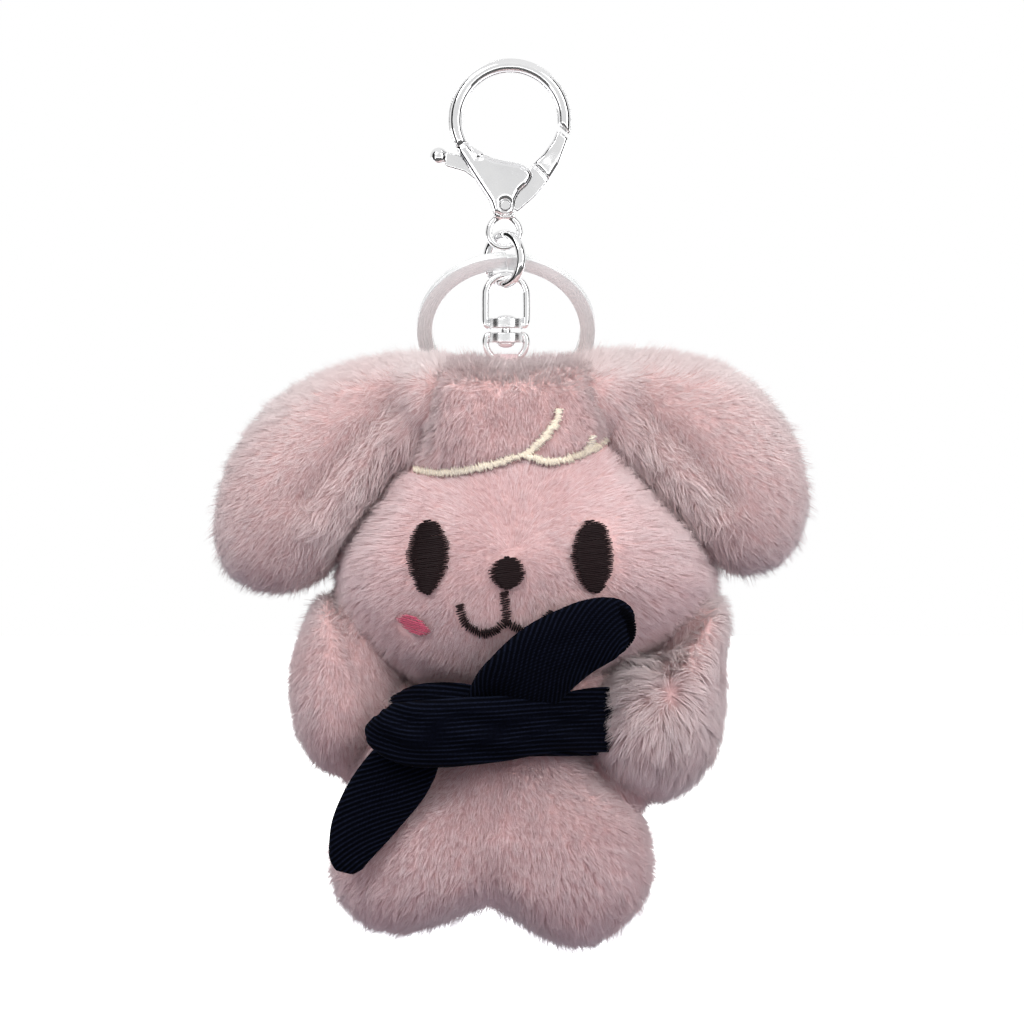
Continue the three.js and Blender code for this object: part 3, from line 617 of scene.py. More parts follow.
def build_swivel():
    """Two wire bails, each round a turned plate, with a rivet through both plates."""
    low, high = corners("swivel_upper_bail")
    x = (low[0] + high[0]) / 2
    half = (high[0] - low[0]) / 2 - BAIL_WIRE
    plate_radius = (high[1] - low[1]) / 2 + 0.25
    for side, up in (("upper", 1), ("lower", -1)):
        low, high = corners(f"swivel_{side}_bail")
        # the arch is at the far end from the rivet, and the legs' feet are in the plate
        arch, foot = (high[2], low[2]) if up == 1 else (low[2], high[2])
        path = bail_path(x, half, arch - up * BAIL_WIRE, foot + up * BAIL_WIRE * 0.9, up)
        name = f"{side}_bail_wire"
        wire = mesh_from(name, *tube(along_curve(path, 0.22), BAIL_WIRE, 20))
        show(wire, name, NICKEL, f"swivel_{side}", [f"swivel_{side}_bail"])
        plate_low, plate_high = sorted((foot + up * PLATE_BEVEL, foot + up * PLATE_HEIGHT))
        plate = turned(rounded_profile(plate_radius, plate_low, plate_high, PLATE_ROUNDING), (x, 0, 0))
        show(mesh_from(f"{side}_plate", *plate), f"{side}_plate", PLATE_STEEL, f"swivel_{side}")

    low, high = corners("swivel_rivet")
    head, post, rise = (high[0] - low[0]) / 2, 0.85, 0.9
    cap_rise = rise * 0.7
    quarter = np.linspace(0, math.pi / 2, 8)
    dome = [(head * math.sin(t), low[2] + rise - rise * math.cos(t)) for t in quarter]
    cap = [(head * math.cos(t), high[2] - cap_rise + cap_rise * math.sin(t)) for t in quarter]
    profile = dome + [(post, low[2] + rise), (post, high[2] - cap_rise)] + cap
    profile[0], profile[-1] = (0, profile[0][1]), (0, profile[-1][1])
    rivet = mesh_from("rivet", *turned(profile, (x, 0, 0), segments=48))
    show(rivet, "rivet", NICKEL, "swivel_upper", ["swivel_rivet"])


def build_hanging_loop():
    """A short strap of ribbon, folded round the lower bail and sewn into the head's crown."""
    low, high = corners("hanging_loop")
    centre = (low + high) / 2
    half_y, half_z = (high[1] - low[1]) / 2 - 0.25, (high[2] - low[2]) / 2 - 0.25
    angle = np.linspace(-0.5, math.pi + 0.5, 40)
    line = np.stack([np.zeros(40), half_y * np.cos(angle), half_z * np.sin(angle)], 1) + centre
    normal = unit(np.stack([np.zeros(40), np.cos(angle) / half_y, np.sin(angle) / half_z], 1))
    half, thick = (high[0] - low[0]) / 2, 0.24
    xs = np.linspace(-half, half, 13)
    layers = [[p + n * offset + (x, 0, 0) for p, n in zip(line, normal) for x in xs] for offset in (thick, -thick)]
    points = np.concatenate(layers)
    w, n, faces = 13, 40, []
    for i in range(n - 1):
        for k in range(w - 1):
            faces.append((i * w + k, (i + 1) * w + k, (i + 1) * w + k + 1, i * w + k + 1))
            o = n * w
            faces.append((o + i * w + k, o + i * w + k + 1, o + (i + 1) * w + k + 1, o + (i + 1) * w + k))
    for i in range(n - 1):
        for k, flip in ((0, False), (w - 1, True)):
            f = (i * w + k, n * w + i * w + k, n * w + (i + 1) * w + k, (i + 1) * w + k)
            faces.append(f[::-1] if flip else f)
    for i, flip in ((0, True), (n - 1, False)):
        for k in range(w - 1):
            f = (i * w + k, n * w + i * w + k, n * w + i * w + k + 1, i * w + k + 1)
            faces.append(f[::-1] if flip else f)
    mesh = mesh_from("ribbon_loop", points, faces)
    show(mesh, "ribbon_loop", RIBBON, "plush", ["hanging_loop"])


build_clasp()
build_jump_ring()
build_key_ring()
build_swivel()
build_hanging_loop()


# ---------------------------------------------------------------- the stuffed skins

PARTS = {"head": "plush", "body": "plush", "ear_left": "left_ear", "ear_right": "right_ear",
         "arm_left": "left_arm", "arm_right": "right_arm"}
FACE_STITCHES = ["eye_left", "eye_right", "nose", "mouth", "cheek_left", "cheek_right"]
FACE_TREE = tree_of(joined("face_stitches", FACE_STITCHES))
FRINGE_TREE = tree_of(joined("fringe_stitches", ["fringe_line"]))


FACE_CENTRE = middle("nose") + (1.0, 0, 2.0)
HEAD_LOW, HEAD_HIGH = corners("head_front")
EAR_INNER_LEFT, EAR_INNER_RIGHT = corners("ear_left_front")[1][0], corners("ear_right_front")[0][0]
CROWN = np.array([EAR_INNER_LEFT + EAR_INNER_RIGHT, 0, HEAD_LOW[2] + HEAD_HIGH[2]]) / 2
EAR_ROOTS = {part: np.array([CROWN[0] + off, 0, HEAD_HIGH[2] + 1])
             for part, off in (("ear_left", -6), ("ear_right", 6))}
PAW = middle("arm_right_front") * (1, 0, 0)
PAW[2] = corners("arm_right_front")[0][2] + 15
# the embroidered line under the fringe, as (x, z) across the forehead
FRINGE = [(-16, -66.2), (-11.3, -66.8), (-5.5, -66.1), (-0.7, -64.9),
          (3, -63.6), (8, -64.8), (11.7, -63.8), (16.2, -61.2)]


# the fold down each ear and the roll below it, as (outward from the crown's middle, z)
EAR_FOLD = [(20.5, -56), (25, -60.5), (29.5, -65.5), (34, -71)]
EAR_ROLL = [(20, -64), (25, -69), (30, -75)]


def fringe_height(x):
    """How high the embroidered fringe line lies across the forehead."""
    xs, zs = np.array(FRINGE).T
    return np.interp(x, xs, zs)


def ellipsoid(bm, centre, radii):
    made = bmesh.ops.create_uvsphere(bm, u_segments=24, v_segments=16, radius=1)
    for v in made["verts"]:
        v.co = Vector(centre) * MM + Vector([c * r * MM for c, r in zip(v.co, radii)])


def shoulders():
    """Stuffing at the roots of the arms and ears, where they join the body and head, as (centre, radii)."""
    low, high = corners("body_front")
    neck = high[2]
    left, right = corners("arm_left_front"), corners("arm_right_front")

    def ear(inner, top, outward):
        return [((inner + 3.4 * outward, -1, top - 9.5), (6.4, 8.6, 9.0)),
                ((inner + 0.5 * outward, -3, top - 6.6), (6.4, 9.2, 6.2))]

    return {
        "ear_left": ear(EAR_INNER_LEFT, corners("ear_left_front")[1][2], -1),
        "ear_right": ear(EAR_INNER_RIGHT, corners("ear_right_front")[1][2], 1),
        "body": [((low[0] + 9.5, 1, neck - 6), (8.5, 9, 11)), ((high[0] - 4.5, 1, neck - 6), (7, 8, 12)),
                 ((high[0] - 12.5, 0, neck + 2.5), (9, 9.5, 6))],
        "arm_left": [((left[1][0] - 3.2, 0, (left[0][2] + left[1][2]) / 2 + 1), (6.6, 8.5, 15.5))],
        "arm_right": [((right[0][0] + 5.4, -4.5, right[0][2] + 11), (7.2, 9.5, 9.5)),
                      ((right[1][0] - 6.0, 0, right[1][2] - 6), (5.5, 7, 9))],
    }


def groove(points, line, depth, width):
    """How far a sewn fold reaches at each point: depth on a line of (x, z), fading over this width."""
    path = along_curve([(x, 0, z) for x, z in line], 0.8)
    off = np.full(len(points), 1e9)
    for x, _, z in path:
        off = np.minimum(off, np.hypot(points[:, 0] - x, points[:, 2] - z))
    return depth * np.exp(-(off / width) ** 2)


def on_ear(part, line):
    """A line on an ear, from (outward, z) to (x, z)."""
    side = -1 if part == "ear_left" else 1
    return [(x * side + CROWN[0], z) for x, z in line]


def build_skins():
    """One soft, rounded skin for each sewn part, over its panels and stuffing."""
    skins, extra = {}, shoulders()
    for part, body in PARTS.items():
        nodes = [f"{part}_{layer}" for layer in ("front", "back", "stuffing")]
        mesh = melted(f"{part}_skin", nodes, 0.9, 16, extra=extra.get(part, ()))
        at, n = vertices_of(mesh), normals_of(mesh)
        push = np.full(len(at), 0.25)
        front = smoothstep(0.2, 0.7, -n[:, 1])
        if part == "head":
            above = at[:, 2] - fringe_height(at[:, 0])
            push += 0.9 * smoothstep(0.2, 1.8, above) * front
            brow = smoothstep(0.0, 9.0, above) * smoothstep(-50.0, -55.0, at[:, 2])
            push += 1.6 * brow * front * smoothstep(14, 4, np.abs(at[:, 0] - CROWN[0] + 3))
        if part.startswith("ear"):
            push -= groove(at, on_ear(part, EAR_FOLD), 1.3, 2.6) * front
            push += groove(at, on_ear(part, EAR_ROLL), 1.0, 4.0) * front
        if part == "head" or part.startswith("ear"):
            push += (1.0 if part == "head" else 0.6) * smoothstep(0.2, 0.8, n[:, 2])
        at = at + n * push[:, None]
        if part == "body":
            low = corners("body_front")[0][2]
            at[:, 2] += 1.5 * smoothstep(low + 12, low, at[:, 2])
        set_vertices(mesh, at)
        skins[part] = mesh
        piece = show(mesh, f"{part}_skin", BACKING, body, nodes)
    return skins


SKINS = build_skins()
TREES = {part: tree_of(mesh) for part, mesh in SKINS.items()}


# ---------------------------------------------------------------- pile

def down_comb(p, n):
    return np.tile([0.0, 0.0, -1.0], (len(p), 1))


def head_comb(p, n):
    """Down over the crown, and outward from the nose over the face."""
    from_nose = p - FACE_CENTRE
    from_nose[:, 1] = 0
    face = unit(from_nose) + [0, 0, -0.35]
    crown = np.stack([0.02 * (p[:, 0] - CROWN[0]), np.where(p[:, 1] < 2, -0.7, 0.7), -np.ones(len(p))], 1)
    above = smoothstep(-1, 1, p[:, 2] - fringe_height(p[:, 0]))
    above = np.maximum(above, (p[:, 1] > 2).astype(float))[:, None]
    return crown * above + face * (1 - above)


def worn(p):
    """1 where the key ring lies against the back of the crown and keeps the pile short, and 0 away from it."""
    return smoothstep(2, 5, p[:, 1]) * smoothstep(-66, -59, p[:, 2])


def head_length(p, n):
    above = smoothstep(-1, 1, p[:, 2] - fringe_height(p[:, 0]))
    behind = smoothstep(-6, 2, p[:, 1])
    cheek = smoothstep(12, 24, np.abs(p[:, 0] - CROWN[0]))
    return (1.9 + 0.4 * above + 0.5 * behind * (1 - above) + 0.9 * cheek * (1 - above)) * (1 - 0.35 * worn(p))


def body_comb(p, n):
    return np.stack([0.022 * (p[:, 0] + 2), np.zeros(len(p)), -np.ones(len(p))], 1)


def even(length):
    """The same length of pile everywhere."""
    return lambda p, n: np.full(len(p), length)


def ear_comb(part):
    def comb(p, n):
        away = p - EAR_ROOTS[part]
        away[:, 1] = 0
        return unit(away) + [0, 0, -0.25]
    return comb


def ear_rim(part, p, n):
    """1 along the roll on the ear's front, where the long pale tufts are, and 0 on its velvety top."""
    return groove(p, on_ear(part, EAR_ROLL), 1.0, 4.2) * smoothstep(0.1, 0.6, -n[:, 1])


def ear_length(part):
    return lambda p, n: 2.0 + 0.9 * ear_rim(part, p, n) + 0.8 * smoothstep(0.2, 0.9, n[:, 2])


def paw_share(p):
    """1 on the right arm's paw and 0 on its upper part."""
    return smoothstep(-94, -103, p[:, 2])


def right_arm_comb(p, n):
    """Down the arm, and fanned out over the paw."""
    away = p - PAW
    away[:, 1] = 0
    share = paw_share(p)[:, None]
    return (unit(away) + [0, 0, -0.9]) * share + np.array([0.45, 0, -1.0]) * (1 - share)


def right_arm_length(p, n):
    return 3.0 + 1.2 * paw_share(p)


def sample(mesh, per_mm2):
    """Points spread evenly over a skin, with their normals."""
    co, normal, tri = vertices_of(mesh), normals_of(mesh), triangles_of(mesh)
    a, b, c = co[tri[:, 0]], co[tri[:, 1]], co[tri[:, 2]]
    area = np.linalg.norm(np.cross(b - a, c - a), axis=1) / 2
    count = int(area.sum() * per_mm2)
    chosen = random.choice(len(tri), count, p=area / area.sum())
    r1, r2 = np.sqrt(random.random(count)), random.random(count)
    w = np.stack([1 - r1, r1 * (1 - r2), r1 * r2], 1)
    t = tri[chosen]
    p = (co[t] * w[:, :, None]).sum(1)
    n = unit((normal[t] * w[:, :, None]).sum(1))
    return p, n


def clear_of(tree, points, margin=0.0):
    """Which points are outside a closed skin."""
    ok = np.ones(len(points), bool)
    for i, p in enumerate(points):
        at, normal, _, _ = tree.find_nearest(p)
        if at is not None and (Vector(p) - at).dot(normal) < margin:
            ok[i] = False
    return ok


MOST_FACES = 190000  # the most triangles in one piece of pile
BALD = 0.42          # no fibre stands nearer than this to a stitch
HIDDEN_DEPTH = 5.0  # pile further than this inside a neighbouring piece never shows, even when a joint turns


class Fibre:
    """How one kind of fibre is built: its corners, its faces, and where each corner lies in its cell of the map."""

    def __init__(self, corners_at, pattern, sizes, tip, us, vs):
        self.corners_at, self.pattern, self.sizes = corners_at, pattern, sizes
        self.tip, self.us, self.vs = tip, us, vs
        self.triangles = sum(size - 2 for size in sizes)


# straight: three corners at the foot and a point. bent: three more corners half way up
STRAIGHT = Fibre(4, [0, 1, 3, 1, 2, 3, 2, 0, 3, 0, 2, 1], [3] * 4, [0, 0, 0, 1],
                 [0.1, 0.35, 0.22, 0.35, 0.6, 0.47, 0.6, 0.85, 0.72, 0.1, 0.85, 0.5],
                 [0.12, 0.12, 0.95] * 3 + [0.1, 0.1, 0.04])
BENT = Fibre(7, [0, 1, 4, 3, 1, 2, 5, 4, 2, 0, 3, 5, 3, 4, 6, 4, 5, 6, 5, 3, 6, 0, 2, 1], [4, 4, 4, 3, 3, 3, 3],
             [0, 0, 0, 0.5, 0.5, 0.5, 1],
             [0.1, 0.35, 0.35, 0.1, 0.35, 0.6, 0.6, 0.35, 0.6, 0.85, 0.85, 0.6,
              0.1, 0.35, 0.22, 0.35, 0.6, 0.47, 0.6, 0.85, 0.72, 0.1, 0.85, 0.5],
             [0.12, 0.12, 0.5, 0.5] * 3 + [0.5, 0.5, 0.95] * 3 + [0.1, 0.1, 0.04])


def strand_mesh(name, kind, root, mid, tip, radius, shade, out):
    """A coat of closed three-sided fibres, shaded with the skin's normals so that it reads as one soft surface."""
    count, each = len(root), kind.corners_at
    axis = unit(tip - root)
    s = unit(np.cross(axis, random.normal(size=(count, 3))))
    b = np.cross(axis, s)
    ring = circles(s, b, 3)
    points = np.empty((count, each, 3))
    normals = np.empty((count, each, 3))
    points[:, 0:3] = root[:, None, :] + ring * radius[:, None, None]
    normals[:, 0:3] = out[:, None, :] + ring * ROUND_SHADING
    if kind is BENT:
        points[:, 3:6] = mid[:, None, :] + ring * radius[:, None, None] * 0.8
        normals[:, 3:6] = out[:, None, :] + ring * ROUND_SHADING
    points[:, -1] = tip
    normals[:, -1] = out
    corner = len(kind.pattern)
    mesh = bpy.data.meshes.new(name)
    mesh.vertices.add(count * each)
    mesh.vertices.foreach_set("co", (points * MM).astype(np.float32).ravel())
    mesh.loops.add(count * corner)
    mesh.polygons.add(count * len(kind.sizes))
    base = (np.arange(count) * each)[:, None]
    starts = np.concatenate([[0], np.cumsum(kind.sizes)[:-1]])
    mesh.loops.foreach_set("vertex_index", (base + np.array(kind.pattern)).astype(np.int32).ravel())
    mesh.polygons.foreach_set("loop_start", ((np.arange(count) * corner)[:, None] + starts).astype(np.int32).ravel())
    mesh.polygons.foreach_set("loop_total", np.tile(kind.sizes, count).astype(np.int32))
    mesh.update(calc_edges=True)
    # painted light: pile on skin that faces up, and a little on skin that faces sideways rather than front or back,
    # is made paler nearer to its root, as if lit from above
    pale = 0.65 * smoothstep(0.2, 0.9, out[:, 2]) + 0.2 * (1 - np.abs(out[:, 1]))
    pale = np.clip(pale, 0, 0.75)[:, None]
    give(mesh, "tip", (np.array(kind.tip)[None, :] * (1 - pale) + pale).ravel())
    give(mesh, "shade", np.repeat(shade, each))
    cell = 1.0 / int(math.ceil(math.sqrt(count)))
    across = int(round(1 / cell))
    where = np.arange(count)
    u = ((where % across)[:, None] + np.array(kind.us)) * cell
    v = ((where // across)[:, None] + np.array(kind.vs)) * cell
    layer = mesh.uv_layers.new(name="OFBake")
    layer.data.foreach_set("uv", np.stack([u, v], 2).astype(np.float32).ravel())
    mesh.shade_smooth()
    mesh.normals_split_custom_set_from_vertices(unit(normals).reshape(-1, 3))
    return mesh


def grow(part, body, material, density, length, comb, lift=0.8, clump=0.22, sway=0.12, per_clump=24, thick=0.05,
         neighbours=(), kind=STRAIGHT, where=None, layer="pile"):
    """A coat of pile on a skin. Fibres in a tuft lean together, and each tuft leans its own way."""
    p, n = sample(SKINS[part], density)
    if where is not None:
        keep = random.random(len(p)) < where(p, n)
        p, n = p[keep], n[keep]
    for other in neighbours:
        keep = clear_of(TREES[other], p + n * 0.4, -HIDDEN_DEPTH)
        p, n = p[keep], n[keep]
    near = np.full(len(p), 99.0)
    if part == "head":
        near = np.array([FACE_TREE.find_nearest(q)[3] for q in p])
        line = np.array([FRINGE_TREE.find_nearest(q)[3] for q in p])
        near = np.minimum(near, np.where(p[:, 2] > fringe_height(p[:, 0]) + 0.8, line + 0.2, line))
    keep = near > BALD
    p, n, near = p[keep], n[keep], near[keep]
    count = len(p)
    size = length(p, n) * (0.55 + 0.45 * smoothstep(0.4, 2.2, near))

    centres = max(1, count // per_clump)
    tree = kdtree.KDTree(centres)
    for i in range(centres):
        tree.insert(p[i], i)
    tree.balance()
    tuft = np.array([tree.find(q)[1] for q in p])
    drift = random.normal(size=(centres, 3)) * sway
    grown = random.uniform(0.88, 1.1, centres)
    tone = random.random(centres)

    flow = comb(p.copy(), n)
    flow = unit(flow - n * (flow * n).sum(1)[:, None])
    lean = unit(flow + drift[tuft] + random.normal(size=(count, 3)) * 0.12)
    upward = 1 + (0.1 if part == "head" else 0.4) * smoothstep(0.1, 0.8, n[:, 2])[:, None]
    stand = lift * upward * random.uniform(0.8, 1.2, count)[:, None]
    heading = unit(n * stand + lean * 0.85)
    size = size * grown[tuft] * random.uniform(0.8, 1.1, count)
    root = p - n * 0.12
    mid = p + (n * 0.62 + heading * 0.55) * (size * 0.45)[:, None]
    tip = p + heading * size[:, None]
    first = tip[:centres]
    gather = clump * random.uniform(0.5, 1.2, count)[:, None]
    goal = first[tuft] + (p - p[tuft]) * 0.3
    tip = tip * (1 - gather) + goal * gather
    mid = mid * (1 - gather * 0.4) + ((p + goal) / 2 + n * 0.1) * gather * 0.4
    shade = np.clip(0.6 * random.random(count) + 0.4 * tone[tuft], 0, 1)
    radius = thick * random.uniform(0.75, 1.25, count)

    order = np.argsort(-p[:, 2], kind="stable")
    sets = int(math.ceil(count * kind.triangles / MOST_FACES))
    for i, chosen in enumerate(np.array_split(order, sets)):
        name = f"{part}_{layer}_{i + 1}"
        mesh = strand_mesh(name, kind, *(values[chosen] for values in (root, mid, tip, radius, shade, n)))
        show(mesh, name, material, body)


# sparse longer tufts, which break up the pile and its outline
WISPS = dict(layer="wisps", lift=1.0, clump=0.72, sway=0.32, per_clump=13, thick=0.055)


def head_wisps(p, n):
    """Tufts on the crown, the cheeks and the back, but not on the face."""
    crown = smoothstep(2, 6, p[:, 2] - fringe_height(p[:, 0]))
    cheek = smoothstep(17, 24, np.abs(p[:, 0] - CROWN[0]))
    return np.maximum(np.maximum(crown, cheek), smoothstep(-6, 2, p[:, 1])) * (1 - worn(p))


# long tufts on the ears' rolls and on the paw
TUFTS = dict(kind=BENT, layer="tufts", clump=0.6, per_clump=18, thick=0.06)


def grow_everything():
    ears, arms = ("ear_left", "ear_right", "body"), ("arm_left", "arm_right", "head")
    grow("head", "plush", PILE, 17, head_length, head_comb, neighbours=ears)
    grow("body", "plush", PILE, 15, even(2.2), body_comb, clump=0.35, sway=0.2, neighbours=arms)
    for side in ("left", "right"):
        part, body, comb = f"ear_{side}", f"{side}_ear", ear_comb(f"ear_{side}")
        grow(part, body, PALE_PILE, 16, ear_length(part), comb, neighbours=("head",))
        grow(part, body, PALE_PILE, 1.6, even(3.4), comb, neighbours=("head",), **WISPS)
        grow(part, body, PALE_PILE, 5, even(4.0), comb, lift=0.6, sway=0.25, neighbours=("head",),
             where=lambda p, n, part=part: ear_rim(part, p, n), **TUFTS)
    grow("body", "plush", PILE, 1.6, even(3.4), body_comb, neighbours=arms, **WISPS)
    grow("head", "plush", PILE, 1.6, even(3.2), head_comb, where=head_wisps, neighbours=ears, **WISPS)
    grow("arm_left", "left_arm", PILE, 1.2, even(2.9), down_comb, neighbours=("head", "body"), **WISPS)
    grow("arm_left", "left_arm", PILE, 16, even(2.0), down_comb, neighbours=("head", "body"))
    grow("arm_right", "right_arm", PALE_PILE, 15, right_arm_length, right_arm_comb, clump=0.35,
         neighbours=("head", "body"))
    grow("arm_right", "right_arm", PALE_PILE, 6, even(4.6), right_arm_comb, lift=0.55, sway=0.22,
         where=lambda p, n: paw_share(p), **TUFTS)


grow_everything()


# ---------------------------------------------------------------- embroidery

def surface_y(tree, x, z):
    """The front of a CAD piece at this x and z, or None."""
    at = tree.ray_cast((x, -60.0, z), (0, 1, 0))[0]
    return None if at is None else at[1]


THREAD_SIDES = 6


def stitch(points, radius):
    """One thread along a few points, with its ends tucked in."""
    path = np.asarray(points)
    r = np.full(len(path), radius)
    r[[0, -1]] = radius * 0.5
    return tube(path, r, THREAD_SIDES)


def embroidered(name, node, material, threads):
    """One piece from threads, with the place round each thread that their material reads for its painted shine."""
    points, faces = gathered(threads)
    mesh = mesh_from(name, points, faces)
    # the sides of each thread are numbered round it, so that the material paints one side lighter and the other
    # darker as a painted shine
    give(mesh, "painted_shine", np.tile(np.arange(THREAD_SIDES) / (THREAD_SIDES - 1), len(points) // THREAD_SIDES))
    return show(mesh, name, material, "plush", [node])


def satin(name, node, material, pitch=0.3, radius=0.19, crown=0.35, slope=0.12):
    """Side by side threads across a filled shape, each a little longer or shorter than the next."""
    tree = tree_of(joined(name, [node]))
    low, high = corners(node)
    threads = []
    for z in np.arange(low[2] + pitch / 2, high[2], pitch):
        xs = np.arange(low[0] - 0.1, high[0] + 0.1, 0.12)
        hits = [(x, surface_y(tree, x, z)) for x in xs]
        hits = [(x, y) for x, y in hits if y is not None]
        if len(hits) < 3:
            continue
        x0 = hits[0][0] - random.uniform(0.0, 0.45)
        x1 = hits[-1][0] + random.uniform(0.0, 0.45)
        y_at = lambda x: np.interp(x, [h[0] for h in hits], [h[1] for h in hits])
        line = []
        for t in np.linspace(0, 1, 7):
            x = x0 + (x1 - x0) * t
            rise = crown * (4 * t * (1 - t)) ** 0.5 - (0.45 if t in (0, 1) else 0)
            line.append((x, y_at(x) - rise, z + slope * (x - (x0 + x1) / 2) + random.uniform(-0.04, 0.04)))
        threads.append(stitch(line, radius * random.uniform(0.85, 1.1)))
    return embroidered(name, node, material, threads)


LINE_THREAD = 0.17


def satin_line(name, node, lines, material, width, pitch, proud, skirt):
    """A satin column: short threads set across a line, which follows the face."""
    head = TREES["head"]
    threads = []
    for line in lines:
        path = along_curve([(x, 0, z) for x, z in line], pitch)
        count = len(path)
        for i, (point, along) in enumerate(zip(path, direction(path))):
            across = np.array([along[2], 0, -along[0]])
            swell = 0.75 + 0.25 * math.sin(math.pi * (i + 0.5) / count)
            half = width / 2 * swell
            ends = (-half - random.uniform(0, skirt), half + random.uniform(0, skirt))
            slant = along * 0.25 * half
            run = []
            for t in np.linspace(0, 1, 5):
                q = point + across * (ends[0] + (ends[1] - ends[0]) * t) + slant * (2 * t - 1)
                y = surface_y(head, q[0], q[2])
                y = point[1] if y is None else y
                rise = proud + 0.22 * math.sin(math.pi * t) - (0.35 if t in (0, 1) else 0)
                run.append((q[0], y - rise, q[2]))
            threads.append(stitch(run, LINE_THREAD * random.uniform(0.85, 1.1)))
    return embroidered(name, node, material, threads)


def build_embroidery():
    for side in ("left", "right"):
        satin(f"eye_stitches_{side}", f"eye_{side}", DARK_THREAD)
    satin("nose_stitches", "nose", DARK_THREAD, crown=0.5)
    for side, slope in (("left", -0.3), ("right", 0.3)):
        satin(f"cheek_stitches_{side}", f"cheek_{side}", PINK_THREAD,
              pitch=0.34, radius=0.15, crown=0.1, slope=slope)
    low, high = corners("mouth")
    x0, x1 = low[0] + 0.6, high[0] - 0.6
    nose = middle("nose")[0] - 0.2
    top, bottom = high[2], low[2] + 0.6
    corner = bottom + 1.8
    left = [(x0, bottom + 4.6), (x0 + 0.5, bottom + 2.2), (x0 + 2.3, bottom + 0.4), (x0 + 4.6, bottom),
            (nose - 1.2, bottom + 0.9), (nose, corner)]
    right = [(nose, corner), (nose + 1.6, bottom + 0.9), (nose + 3.6, bottom),
             (x1 - 1.6, bottom + 1.4), (x1, bottom + 3.6)]
    lip = [(nose - 0.2, top), (nose, (top + corner) / 2), (nose, corner)]
    satin_line("mouth_stitches", "mouth", [left, right, lip], DARK_THREAD, 1.0,
               pitch=0.34, proud=0.8, skirt=0.45)
    branch = [(3.0, -63.6), (5.6, -61.2), (7.5, -58.6), (8.1, -56.4)]
    hook = [(12.5, -63.4), (13.3, -62.2), (13.5, -60.8)]
    lower = [(2.6, -64.0), (5.3, -64.9), (8.2, -64.9), (11.7, -63.8), (14.9, -62.3), (16.2, -61.2)]
    main = [p for p in FRINGE if p[0] < 4]
    satin_line("fringe_stitches", "fringe_line", [main, branch, lower, hook], CREAM_THREAD, 0.95,
               pitch=0.26, proud=1.0, skirt=0.5)


build_embroidery()


# ---------------------------------------------------------------- scarf

RIB_PITCH = 0.75
RIB_HEIGHT = 0.11
SCARF_STEP = 0.24


def strip(name, spine, half_width, half_depth, across, rib_angle, waves, closed=False):
    """A padded band of twill. Each spine point has its half width, its half depth and the direction of its width.
    The ribs are real ridges that run at rib_angle, in degrees, to the band's length, and waves are its soft folds."""
    data = np.concatenate([np.asarray(spine, float), np.asarray(half_width, float)[:, None],
                           np.asarray(half_depth, float)[:, None], np.asarray(across, float)], 1)
    data = along_curve(data, SCARF_STEP, closed)
    centre, w, d, side = data[:, :3], data[:, 3], data[:, 4], unit(data[:, 5:8])
    n = len(centre)
    tangent = direction(centre, closed)
    side = unit(side - tangent * (side * tangent).sum(1)[:, None])
    out = np.cross(tangent, side)
    run = np.concatenate([[0], np.cumsum(np.linalg.norm(np.diff(centre, axis=0), axis=1))])
    k = int(max(24, round(4 * w.max() / SCARF_STEP)))
    angle = np.arange(k) * 2 * math.pi / k
    # a flattened oval section
    cx = np.cos(angle)
    sy = np.sign(np.sin(angle)) * (1 - np.abs(cx) ** 2.7) ** 0.42
    across_at = cx[None, :] * w[:, None]
    deep_at = sy[None, :] * d[:, None]
    fold = waves * np.sin(across_at * 1.3 + run[:, None] * 0.35) * np.sin(run[:, None] * 0.22 + 0.6)
    slant = math.radians(rib_angle)
    phase = (run[:, None] * math.sin(slant) + across_at * math.cos(slant)) / RIB_PITCH
    ridge = 0.5 + 0.5 * np.cos(2 * math.pi * phase)
    deep = deep_at + (fold + RIB_HEIGHT * (ridge - 0.5)) * np.sign(sy)[None, :]
    points = centre[:, None, :] + side[:, None, :] * across_at[:, :, None] + out[:, None, :] * deep[:, :, None]
    mesh = mesh_from(name, points.reshape(-1, 3), swept_faces(n, k, closed))
    give(mesh, "rib", ridge.ravel())
    return mesh


def overlock(name, outline, depth, body):
    """A row of short thread loops over a cut edge. Each outline point is x, y, z on the edge."""
    path = along_curve(outline, 0.5)
    parts = []
    for point, along in zip(path, direction(path)):
        out = unit(np.cross(along, [0, 1.0, 0]))
        lean = along * 0.16
        loop = [point - out * 1.5 + (0, -depth, 0) - lean, point - out * 0.4 + (0, -depth * 0.6, 0),
                point - out * 0.2, point - out * 0.4 + (0, depth * 0.6, 0), point - out * 1.5 + (0, depth, 0) + lean]
        parts.append(stitch(loop, 0.24))
    points, faces = gathered(parts)
    show(mesh_from(name, points, faces), name, TWILL, body)


